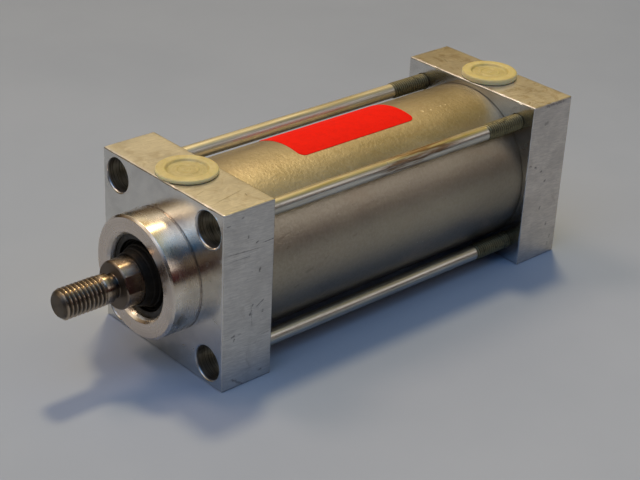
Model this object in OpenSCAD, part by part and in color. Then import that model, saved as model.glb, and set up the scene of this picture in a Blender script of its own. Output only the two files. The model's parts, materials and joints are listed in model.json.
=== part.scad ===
// Square-head tie-rod pneumatic cylinder, drawn retracted.
// Frame: +Z up, the rod axis lies on Y, the rod points to -Y.
// The origin is on the rod axis, in the mounting face of the front head.
// All sizes in millimetres.

/* [Heads] */
// side of the square heads
head_w = 62; // [61.5:0.5:64]
// thickness of each head along the rod axis
head_t = 20; // [19.5:0.5:21]
// distance over both heads, front face to rear face
body_len = 158; // [156:1:170]
// small bevel on all head edges
head_bevel = 0.4; // [0.2:0.1:0.8]

/* [Barrel] */
// outside diameter of the tube
tube_od = 58; // [57:0.5:58]
// bore of the tube
tube_id = 50; // [50:0.5:50.5]
// how far the tube end is let into each head
tube_seat = 3; // [2:0.5:3.5]

/* [Tie rods] */
// centre distance of neighbouring tie rods
tie_pitch = 47; // [46.5:0.5:48]
// outside diameter of the rolled tie-rod threads
tie_thread_d = 6; // [5.6:0.1:6]
// diameter of the plain shank between the threads
tie_shank_d = 5.35; // [5:0.05:5.6]
// length of thread that shows in front of the rear head
tie_thread_show = 16; // [8:1:20]
// diameter of the deep counterbores for the tie-rod nuts
counterbore_d = 11.5; // [11:0.1:12]

/* [Collar] */
// diameter of the pilot collar
collar_d = 41; // [40:0.5:42]
// how far the collar stands in front of the head
collar_h = 10.5; // [10.5:0.5:12]

/* [Rod] */
// rod diameter
rod_d = 16; // [15.8:0.1:16]
// distance over the two spanner flats
rod_flats = 15; // [14:0.5:15]
// turned position of the rod and its spanner flats, in degrees
rod_turn = 21; // [0:1:90]
// outside diameter of the male thread on the rod end
rod_thread_d = 10; // [9:0.5:12]
// distance from the front head face to the rod shoulder, retracted
shoulder_out = 18.4; // [17:0.1:22]
// distance from the rod shoulder to the tip of the thread
tip_len = 20.3; // [18:0.1:26]
// full travel of the rod
stroke = 80; // [60:1:82]

/* [Ports] */
// bore of the supply ports, over the thread crests of a quarter-inch pipe thread
port_d = 11.44; // [10:0.01:11.8]
// flange diameter of the plastic port plugs
plug_d = 20; // [17:0.5:20]
// height of the front plug above the head
front_plug_h = 1.4; // [1:0.1:2.4]
// height of the rear plug above the head
rear_plug_h = 2.2; // [1:0.1:2.4]

/* [Label] */
// length of the label along the tube
label_len = 52; // [30:1:60]
// width of the label along the tube's curve, in degrees
label_arc = 47; // [30:1:50]
// angle of the label's lower edge above the horizontal
label_from = 74.3; // [60:0.1:80]

/* [Hidden] */
$fn = 64;
eps = 0.01;
half = head_w / 2;
rear_y = body_len - head_t;             // inner face of the rear head
rod_r = rod_d / 2;
rod_fit = 0.03;                         // running clearance round the rod
tube_ro = tube_od / 2;
tube_ri = tube_id / 2;
spigot_r = tube_ri - 0.05;
spigot_len = 4;
tie_c = tie_pitch / 2;
tie_r = tie_thread_d / 2;
nut_r = counterbore_d / 2 - 0.1;
nut_len = 8;
web = 4;                                // head left under the tie-rod nuts
nut_y = head_t - web - nut_len;         // outer face of the front nuts
nut_bore_r = tie_r - 0.5;
bumper_h = 1.2;                         // how far a bumper stands proud
piston_gap = 0.05;
piston_rear = rear_y - spigot_len - bumper_h - piston_gap;
piston_len = rear_y - head_t - 2 * spigot_len - 2 * bumper_h - 2 * piston_gap - stroke;
piston_front = piston_rear - piston_len;
gland_r = 16;                           // part of the gland inside the head
gland_end = head_t - 3;
mouth_r = 13.86;                        // recess inside the collar
front_port_y = head_t / 2;
rear_port_y = body_len - head_t / 2;
port_floor = half - 10.5;
passage_z = 19.8;
passage_r = 2.4;
plug_r = plug_d / 2;
tip_y = -shoulder_out - tip_len;
label_y = 50.5;

// round bar along Y between two planes
module ycyl(r, y0, y1, x = 0, z = 0)
    translate([x, y0, z]) rotate([-90, 0, 0]) cylinder(h = y1 - y0, r = r);

// cone along Y between two planes
module ycone(ra, rb, y0, y1, x = 0, z = 0)
    translate([x, y0, z]) rotate([-90, 0, 0]) cylinder(h = y1 - y0, r1 = ra, r2 = rb);

// solid turned about the Y axis from [radius, y] points
module yturn(pts)
    rotate([-90, 0, 0]) rotate_extrude() polygon(pts);

module yring(ro, ri, y0, y1)
    yturn([[ri, y0], [ro, y0], [ro, y1], [ri, y1]]);

// torus about the Y axis
module o_ring(rc, rs, y)
    rotate([-90, 0, 0]) translate([0, 0, y]) rotate_extrude() translate([rc, 0]) circle(r = rs);

// lip seal with a notch open on the pressure side
module lip_ring(ri, ro, y_base, y_lip) {
    m = (ri + ro) / 2;
    t = (ro - ri) * 0.26;
    d = y_lip - y_base;
    yturn([[ri, y_base], [ro, y_base], [ro, y_lip - 0.15 * d], [ro - 0.3, y_lip],
           [ro - t, y_lip], [m, y_base + 0.42 * d], [ri + t, y_lip],
           [ri + 0.3, y_lip], [ri, y_lip - 0.15 * d]]);
}

module at_corners()
    for (sx = [-1, 1], sz = [-1, 1]) translate([sx * tie_c, 0, sz * tie_c]) children();

module bevelled_rect(a, b, c)
    polygon([[-a + c, -b], [a - c, -b], [a, -b + c], [a, b - c],
             [a - c, b], [-a + c, b], [-a, b - c], [-a, -b + c]]);

// square head with a small bevel on every edge
module head_block(y0) {
    t = head_t / 2;
    translate([0, y0 + t, 0]) intersection() {
        translate([0, 0, -half - 1]) linear_extrude(head_w + 2)
            bevelled_rect(half, t, head_bevel);
        translate([0, t + 1, 0]) rotate([90, 0, 0]) linear_extrude(head_t + 2)
            bevelled_rect(half, half, head_bevel);
        translate([-half - 1, 0, 0]) rotate([90, 0, 90]) linear_extrude(head_w + 2)
            bevelled_rect(t, half, head_bevel);
    }
}

// cuts shared by both heads, drawn for the front head (outer face at y = 0)
module head_cuts() {
    // seat for the tube end, round the spigot
    yring(tube_ro + 0.05, spigot_r, head_t - tube_seat, head_t + 1);
    yturn([[tube_ro - 1, head_t - 0.45], [tube_ro + 0.05, head_t - 0.45],
           [tube_ro + 0.5, head_t], [tube_ro + 0.5, head_t + 1], [tube_ro - 1, head_t + 1]]);
    // groove for the tube's static seal
    yring(spigot_r + 1, spigot_r - 1.85, head_t + 0.7, head_t + 3.3);
    // seat for the bumper
    ycyl(16.5, head_t + spigot_len - 2, head_t + spigot_len + 1);
    // tie-rod holes and the counterbores for their nuts
    at_corners() {
        ycyl(counterbore_d / 2, -1, head_t - web);
        ycyl(tie_r + 0.2, head_t - web - 1, head_t + 1);
        ycone(counterbore_d / 2 + 0.4, counterbore_d / 2, -eps, 0.4);
    }
    // supply port and the passage from it into the tube
    translate([0, head_t / 2, port_floor]) cylinder(h = 12, r = port_d / 2);
    translate([0, head_t / 2, half - 0.6]) cylinder(h = 0.61, r1 = port_d / 2, r2 = port_d / 2 + 0.6);
    ycyl(passage_r, head_t / 2, head_t + spigot_len + 1, 0, passage_z);
}

module spigot()
    ycyl(spigot_r, head_t - 5, head_t + spigot_len);

module front_head() {
    color([0.78, 0.77, 0.74])
    difference() {
        union() {
            head_block(0);
            spigot();
        }
        head_cuts();
        // bore for the gland, and the rod's way through the inner wall
        ycyl(gland_r + 0.02, -1, gland_end);
        ycyl(9, gland_end - 1, head_t + spigot_len + 1);
        // fine groove round the collar's base
        yring(collar_d / 2 + 0.4, gland_r - 1, -1, 0.25);
    }
}

module rear_head() {
    color([0.78, 0.77, 0.74])
    translate([0, body_len, 0]) mirror([0, 1, 0])
    difference() {
        union() {
            head_block(0);
            spigot();
        }
        head_cuts();
    }
}

module rod_gland() {
    cr = collar_d / 2;
    color([0.85, 0.84, 0.82])
    yturn([
        [15.1, -collar_h], [cr - 0.8, -collar_h], [cr, -collar_h + 0.8],
        [cr, 0], [cr, 0.18], [gland_r, 0.18],
        [gland_r, 1.2], [gland_r - 1.8, 1.2], [gland_r - 1.8, 3.6], [gland_r, 3.6],
        [gland_r, gland_end - 0.6], [gland_r - 0.6, gland_end],
        [10, gland_end], [10, 3], [11.5, 3], [11.5, -2],
        [mouth_r, -2], [mouth_r, -6.4], [mouth_r + 1, -6.4], [mouth_r + 1, -8.0],
        [mouth_r, -8.0], [mouth_r, -8.6]
    ]);
}

// open spring ring in the groove inside the collar's mouth
module wiper_retaining_ring() {
    color([0.14, 0.14, 0.15])
    difference() {
        yring(mouth_r + 0.95, 11.9, -7.95, -6.45);
        rotate([0, -34, 0]) translate([0, -9, -1.6]) cube([20, 4, 3.2]);
    }
}

module rod_wiper() {
    ri = rod_r + rod_fit;
    color([0.05, 0.05, 0.05])
    yturn([
        [ri, -2.05], [13.82, -2.05], [13.82, -6.4], [11.75, -6.4], [11.45, -6.9],
        [11.2, -6.9], [10.9, -5.2], [10.55, -5.2], [10.3, -7.6],
        [9.5, -9.6], [8.75, -11.7], [8.45, -12.0], [ri, -12.0]
    ]);
}

module rod_bush() {
    color([0.66, 0.5, 0.28]) yring(9.99, rod_r + rod_fit - 0.01, 3.05, gland_end - 0.05);
}

module rod_seal() {
    color([0.07, 0.07, 0.07]) lip_ring(rod_r + rod_fit, 11.47, -1.95, 2.95);
}

module gland_o_ring() {
    color([0.07, 0.07, 0.07]) o_ring(gland_r - 0.9, 0.88, 2.4);
}

module front_tube_o_ring() {
    color([0.07, 0.07, 0.07]) o_ring(spigot_r - 0.9, 0.92, head_t + 2);
}

module rear_tube_o_ring() {
    color([0.07, 0.07, 0.07]) o_ring(spigot_r - 0.9, 0.92, rear_y - 2);
}

module front_bumper() {
    color([0.1, 0.1, 0.1])
    yring(16.48, 9.5, head_t + spigot_len - 2 + eps, head_t + spigot_len + bumper_h);
}

module rear_bumper() {
    color([0.1, 0.1, 0.1])
    yring(16.48, 9.5, rear_y - spigot_len - bumper_h, rear_y - spigot_len + 2 - eps);
}

module barrel_tube() {
    y0 = head_t - tube_seat + eps;
    y1 = rear_y + tube_seat - eps;
    color([0.58, 0.56, 0.52])
    yturn([[tube_ri, y0 + 0.5], [tube_ri + 0.5, y0], [tube_ro - 0.5, y0], [tube_ro, y0 + 0.5],
           [tube_ro, y1 - 0.5], [tube_ro - 0.5, y1], [tube_ri + 0.5, y1], [tube_ri, y1 - 0.5]]);
}

module tie_rod() {
    a = nut_y + nut_len / 2 + 0.02;
    b = body_len - a;
    c = head_t - 1;
    d = rear_y - tie_thread_show;
    s = tie_shank_d / 2;
    yturn([[0, a], [tie_r - 0.6, a], [tie_r, a + 0.6], [tie_r, c - 0.3], [s, c],
           [s, d], [tie_r, d + 0.3], [tie_r, b - 0.6], [tie_r - 0.6, b], [0, b]]);
}

module tie_rods() {
    color([0.7, 0.69, 0.66]) at_corners() tie_rod();
}

// round nut: mounting thread at the outer end, tie-rod thread at the inner end
module tie_rod_nut() {
    mid = nut_y + nut_len / 2;
    end = nut_y + nut_len - eps;
    difference() {
        yturn([[nut_bore_r, nut_y + 0.4], [nut_bore_r + 0.4, nut_y], [nut_r - 0.4, nut_y],
               [nut_r, nut_y + 0.4], [nut_r, end - 0.4], [nut_r - 0.4, end],
               [tie_r + 0.02, end], [tie_r + 0.02, mid], [nut_bore_r, mid]]);
        // notches for a pin spanner
        for (a = [0 : 90 : 270])
            rotate([0, a + 45, 0]) translate([nut_r - 1.3, nut_y - 1, -0.9]) cube([3, 2.4, 1.8]);
    }
}

module front_tie_rod_nuts() {
    color([0.6, 0.58, 0.5]) at_corners() tie_rod_nut();
}

module rear_tie_rod_nuts() {
    color([0.6, 0.58, 0.5])
    translate([0, body_len, 0]) mirror([0, 1, 0]) at_corners() tie_rod_nut();
}

// push-in plastic plug: flange with a raised rim round a shallow dished centre,
// and a hollow stem whose three ribs grip the port
module port_plug(y, h) {
    rib = port_d / 2 - 0.04;
    s = rib - 0.35;
    z = half;
    translate([0, y, 0])
    rotate_extrude() polygon([
        [0, z + h - 0.45], [3.4, z + h - 0.55], [4.6, z + h - 0.85], [6.1, z + h - 0.95],
        [6.9, z + h - 0.12], [7.5, z + h], [plug_r - 0.35, z + h],
        [plug_r, z + h - 0.35], [plug_r, z + 0.32], [plug_r - 0.3, z + 0.02],
        [s, z + 0.02], [s, z - 1.6], [rib, z - 1.9], [s, z - 3],
        [s, z - 4], [rib, z - 4.3], [s, z - 5.4], [s, z - 6.4], [rib, z - 6.7],
        [s, z - 7.8], [s, z - 8.2], [s - 0.8, z - 9], [s - 1.3, z - 9],
        [s - 1.3, z - 1.2], [0, z - 1.2]
    ]);
}

module front_port_plug() {
    color([0.82, 0.77, 0.42]) port_plug(front_port_y, front_plug_h);
}

module rear_port_plug() {
    color([0.82, 0.77, 0.42]) port_plug(rear_port_y, rear_plug_h);
}

module label() {
    r = tube_ro + eps;
    k = 2.6;                             // corner radius
    mid = label_from + label_arc / 2;
    w = r * sin(label_arc / 2);          // half width seen square on
    h = label_len / 2;
    color([0.85, 0.1, 0.02])
    intersection() {
        yring(r + 0.14, r, label_y - 1, label_y + label_len + 1);
        // rounded rectangle dropped square on to the tube
        rotate([0, 90 - mid, 0]) translate([0, label_y + h, 0]) linear_extrude(tube_ro + 5)
            polygon([for (q = [0 : 3], a = [0 : 15 : 90])
                let (sx = (q == 0 || q == 3) ? 1 : -1, sy = q < 2 ? 1 : -1)
                [sx * (w - k) + k * cos(90 * q + a), sy * (h - k) + k * sin(90 * q + a)]]);
    }
}

module piston_rod() {
    t = rod_thread_d / 2;
    so = -shoulder_out;
    spigot_end = piston_rear - 0.5;
    color([0.55, 0.53, 0.5])
    rotate([0, -rod_turn, 0])
    difference() {
        yturn([
            [0, tip_y], [t - 1.25, tip_y], [t, tip_y + 1.25],
            [t, so - 4.6], [t - 0.15, so - 4.45], [t - 0.15, so - 2.3], [t - 1, so - 2.2],
            [t - 1, so], [rod_r - 0.6, so], [rod_r, so + 0.6],
            [rod_r, piston_front - eps], [6, piston_front - eps],
            [6, spigot_end - 1], [5, spigot_end], [0, spigot_end]
        ]);
        // spanner flats
        for (s = [0, 180])
            rotate([0, s, 0]) translate([rod_flats / 2, so - 1, -10]) cube([5, shoulder_out - 12.2 + 1, 20]);
    }
}

module piston() {
    a = piston_front;
    b = piston_rear;
    ro = tube_ri - 0.2;
    g = tube_ri - 4.1;                   // floor of the seal grooves
    gw = tube_ri - 2.1;                  // floor of the guide-ring groove
    m = (a + b) / 2;
    color([0.75, 0.75, 0.76])
    yturn([
        [6.03, a], [ro - 0.8, a], [ro, a + 0.8],
        [ro, a + 2.2], [g, a + 2.2], [g, a + 7.3], [ro, a + 7.3],
        [ro, m - 3.3], [gw, m - 3.3], [gw, m + 3.3], [ro, m + 3.3],
        [ro, b - 7.3], [g, b - 7.3], [g, b - 2.2], [ro, b - 2.2],
        [ro, b - 0.8], [ro - 0.8, b],
        [12.5, b], [12.5, b - 10.5], [6.03, b - 10.5],
        [6.03, a + 10.4], [7.6, a + 10.4], [7.6, a + 8], [6.03, a + 8]
    ]);
}

module front_piston_seal() {
    color([0.07, 0.07, 0.07])
    lip_ring(tube_ri - 4.08, tube_ri - 0.04, piston_front + 7.25, piston_front + 2.25);
}

module rear_piston_seal() {
    color([0.07, 0.07, 0.07])
    lip_ring(tube_ri - 4.08, tube_ri - 0.04, piston_rear - 7.25, piston_rear - 2.25);
}

module piston_guide_ring() {
    m = (piston_front + piston_rear) / 2;
    color([0.2, 0.32, 0.3])
    difference() {
        yring(tube_ri - 0.05, tube_ri - 2.08, m - 3.25, m + 3.25);
        rotate([0, 60, 0]) translate([20, m - 5, -0.5]) cube([8, 10, 1]);
    }
}

module piston_bore_o_ring() {
    color([0.07, 0.07, 0.07]) o_ring(6.82, 0.76, piston_front + 9.2);
}

module piston_washer() {
    b = piston_rear - 10.5;
    color([0.66, 0.65, 0.62]) yring(11.6, 6.1, b + eps, b + 1.5);
}

module piston_nut() {
    b = piston_rear - 9 + eps;
    color([0.66, 0.64, 0.58])
    intersection() {
        difference() {
            translate([0, b, 0]) rotate([-90, 0, 0]) cylinder(h = 8, r = 9.5 / cos(30), $fn = 6);
            ycyl(6.02, b - 1, b + 9);
        }
        // turned chamfers on the hexagon's corners
        yturn([[0, b], [9.6, b], [11.2, b + 0.9], [11.2, b + 7.1], [9.6, b + 8], [0, b + 8]]);
    }
}

front_head();
rear_head();
rod_gland();
wiper_retaining_ring();
rod_wiper();
piston_rod();
barrel_tube();
tie_rods();
label();
front_port_plug();
rear_port_plug();
front_tie_rod_nuts();
rear_tie_rod_nuts();
rod_bush();
rod_seal();
gland_o_ring();
front_tube_o_ring();
rear_tube_o_ring();
front_bumper();
rear_bumper();
piston();
front_piston_seal();
rear_piston_seal();
piston_guide_ring();
piston_bore_o_ring();
piston_washer();
piston_nut();
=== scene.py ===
import json
import math

import bmesh
import bpy
import numpy as np
from mathutils import Matrix, Vector, noise


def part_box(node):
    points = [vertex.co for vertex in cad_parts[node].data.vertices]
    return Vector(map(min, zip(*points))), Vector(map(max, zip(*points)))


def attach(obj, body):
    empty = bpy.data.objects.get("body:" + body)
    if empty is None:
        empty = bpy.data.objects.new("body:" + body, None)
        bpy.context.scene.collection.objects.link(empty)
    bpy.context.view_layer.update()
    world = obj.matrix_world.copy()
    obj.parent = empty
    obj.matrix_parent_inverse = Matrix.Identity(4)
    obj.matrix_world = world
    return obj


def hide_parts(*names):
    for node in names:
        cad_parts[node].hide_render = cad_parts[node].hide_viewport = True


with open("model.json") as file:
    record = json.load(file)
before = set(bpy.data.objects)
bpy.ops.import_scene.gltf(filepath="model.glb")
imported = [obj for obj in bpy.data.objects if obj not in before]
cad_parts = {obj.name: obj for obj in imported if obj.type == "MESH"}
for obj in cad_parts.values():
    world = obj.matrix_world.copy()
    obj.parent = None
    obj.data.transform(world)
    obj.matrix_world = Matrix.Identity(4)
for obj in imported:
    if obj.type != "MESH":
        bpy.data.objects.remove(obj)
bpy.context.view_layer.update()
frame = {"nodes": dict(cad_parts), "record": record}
NODES = frame["nodes"]
MM = 0.001
TAU = 2 * math.pi


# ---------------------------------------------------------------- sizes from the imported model, in millimetres
def box_mm(node):
    lo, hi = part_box(node)
    return [c / MM for c in lo], [c / MM for c in hi]


head_lo, head_hi = box_mm("front_head")
rear_lo, rear_hi = box_mm("rear_head")
HALF = head_hi[0]                                   # half the head width, 31
BODY = rear_hi[1]                                   # rear face, 158
MOUNTS = {m["name"]: m for m in frame["record"]["mounts"]}
TIE = MOUNTS["front_bolts"]["dims"]["spacing_x_mm"] / 2          # 23.5
PORT_Y = MOUNTS["front_port"]["pos_m"][1] / MM                   # 10
HEAD_T = 2 * PORT_Y                                              # 20
PORT_R = MOUNTS["front_port"]["dims"]["r_mm"]                    # 5.72
tube_lo, tube_hi = box_mm("barrel_tube")
TUBE_R = tube_hi[0]                                 # 29
rod_lo, rod_hi = box_mm("piston_rod")
ROD_R = rod_hi[0]                                   # 8
TIP = rod_lo[1]                                     # -38.7
THREAD_R = MOUNTS["rod_thread"]["dims"]["r_mm"]                  # 5
COLLAR_R = MOUNTS["pilot_collar"]["dims"]["r_mm"]                # 20.5
gland_lo, gland_hi = box_mm("rod_gland")
COLLAR_Y = gland_lo[1]                              # -10.5
tie_lo, tie_hi = box_mm("tie_rods")
label_lo, label_hi = box_mm("label")
nut_lo, nut_hi = box_mm("front_tie_rod_nuts")


# ---------------------------------------------------------------- small procedural-material kit
class Mat:
    """A Principled material built from nodes, in millimetres of the row frame."""

    def __init__(self, name):
        self.m = bpy.data.materials.new(name)
        self.m.use_nodes = True
        self.nt = self.m.node_tree
        self.nt.nodes.clear()
        out = self.node("ShaderNodeOutputMaterial")
        self.p = self.node("ShaderNodeBsdfPrincipled")
        self.nt.links.new(self.p.outputs[0], out.inputs[0])
        tc = self.node("ShaderNodeTexCoord")
        self.raw = tc.outputs["Object"]
        self.pos = self.vmath("SCALE", self.raw, scale=1000.0)
        self.normal = tc.outputs["Normal"]
        self.x, self.y, self.z = self.split(self.pos)

    def node(self, kind, **kw):
        n = self.nt.nodes.new(kind)
        for k, v in kw.items():
            setattr(n, k, v)
        return n

    def put(self, socket, value):
        if value is None:
            return
        if isinstance(value, bpy.types.NodeSocket):
            self.nt.links.new(value, socket)
        elif isinstance(value, (tuple, list)) and len(value) == 3 and socket.type == "RGBA":
            socket.default_value = (*value, 1.0)
        else:
            socket.default_value = value

    def math(self, op, a, b=None, c=None, clamp=False):
        n = self.node("ShaderNodeMath", operation=op, use_clamp=clamp)
        self.put(n.inputs[0], a)
        self.put(n.inputs[1], b)
        self.put(n.inputs[2], c)
        return n.outputs[0]

    def vmath(self, op, a, b=None, scale=None):
        n = self.node("ShaderNodeVectorMath", operation=op)
        self.put(n.inputs[0], a)
        self.put(n.inputs[1], b)
        if scale is not None:
            self.put(n.inputs["Scale"], scale)
        return n.outputs["Value"] if op in ("LENGTH", "DOT_PRODUCT", "DISTANCE") else n.outputs[0]

    def split(self, v):
        n = self.node("ShaderNodeSeparateXYZ")
        self.put(n.inputs[0], v)
        return n.outputs[0], n.outputs[1], n.outputs[2]

    def join(self, x, y, z):
        n = self.node("ShaderNodeCombineXYZ")
        for i, v in enumerate((x, y, z)):
            self.put(n.inputs[i], v)
        return n.outputs[0]

    def stretch(self, sx, sy, sz, off=(0, 0, 0), vec=None):
        n = self.node("ShaderNodeMapping")
        self.put(n.inputs["Vector"], self.pos if vec is None else vec)
        n.inputs["Location"].default_value = off
        n.inputs["Scale"].default_value = (sx, sy, sz)
        return n.outputs[0]

    def noise(self, scale, detail=2.0, rough=0.5, vec=None, dist=0.0, colour=False):
        n = self.node("ShaderNodeTexNoise")
        self.put(n.inputs["Vector"], self.pos if vec is None else vec)
        n.inputs["Scale"].default_value = scale
        n.inputs["Detail"].default_value = detail
        n.inputs["Roughness"].default_value = rough
        n.inputs["Distortion"].default_value = dist
        return n.outputs["Color"] if colour else n.outputs[0]

    def cells(self, scale, vec=None, feature="F1", rand=1.0):
        n = self.node("ShaderNodeTexVoronoi", feature=feature)
        self.put(n.inputs["Vector"], self.pos if vec is None else vec)
        n.inputs["Scale"].default_value = scale
        n.inputs["Randomness"].default_value = rand
        return n.outputs[0]

    def span(self, v, a, b, c=0.0, d=1.0, smooth=True):
        n = self.node("ShaderNodeMapRange", interpolation_type="SMOOTHSTEP" if smooth else "LINEAR")
        self.put(n.inputs[0], v)
        for i, q in enumerate((a, b, c, d)):
            n.inputs[1 + i].default_value = q
        return n.outputs[0]

    def mix(self, fac, a, b, blend="MIX"):
        n = self.node("ShaderNodeMix", data_type="RGBA", blend_type=blend)
        self.put(n.inputs[0], fac)
        self.put(n.inputs[6], a)
        self.put(n.inputs[7], b)
        return n.outputs[2]

    def ramp(self, fac, stops):
        n = self.node("ShaderNodeValToRGB")
        self.put(n.inputs[0], fac)
        e = n.color_ramp.elements
        while len(e) < len(stops):
            e.new(0.5)
        for i, (t, c) in enumerate(stops):
            e[i].position = t
            e[i].color = (*c, 1.0)
        return n.outputs[0]

    def bump(self, height_mm, strength=1.0):
        """height_mm is a real height in millimetres."""
        n = self.node("ShaderNodeBump")
        n.inputs["Strength"].default_value = strength
        n.inputs["Distance"].default_value = MM
        self.put(n.inputs["Height"], height_mm)
        self.put(self.p.inputs["Normal"], n.outputs[0])

    def add(self, *v):
        s = v[0]
        for q in v[1:]:
            s = self.math("ADD", s, q)
        return s

    def mul(self, *v):
        s = v[0]
        for q in v[1:]:
            s = self.math("MULTIPLY", s, q)
        return s

    def scratch(self, p, d, length, width, wobble=0.0):
        """Soft mask, 1 on a short straight scratch at point p along direction d (both in mm)."""
        d = Vector(d).normalized()
        rel = self.vmath("SUBTRACT", self.pos, tuple(p))
        along = self.vmath("DOT_PRODUCT", rel, tuple(d))
        on = self.vmath("SCALE", tuple(d), scale=along)
        off = self.vmath("LENGTH", self.vmath("SUBTRACT", rel, on))
        if wobble:
            off = self.math("ADD", off, self.mul(self.math("SUBTRACT", self.noise(1.3, 2), 0.5), wobble))
        a = self.span(off, width * 0.25, width, 1, 0)
        b = self.span(self.math("ABSOLUTE", along), length * 0.3, length * 0.5, 1, 0)
        return self.math("MULTIPLY", a, b)

    def any(self, *v):
        s = v[0]
        for q in v[1:]:
            s = self.math("MAXIMUM", s, q)
        return s

    def set(self, **kw):
        for k, v in kw.items():
            self.put(self.p.inputs[k.replace("_", " ")], v)
        return self.m


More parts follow.
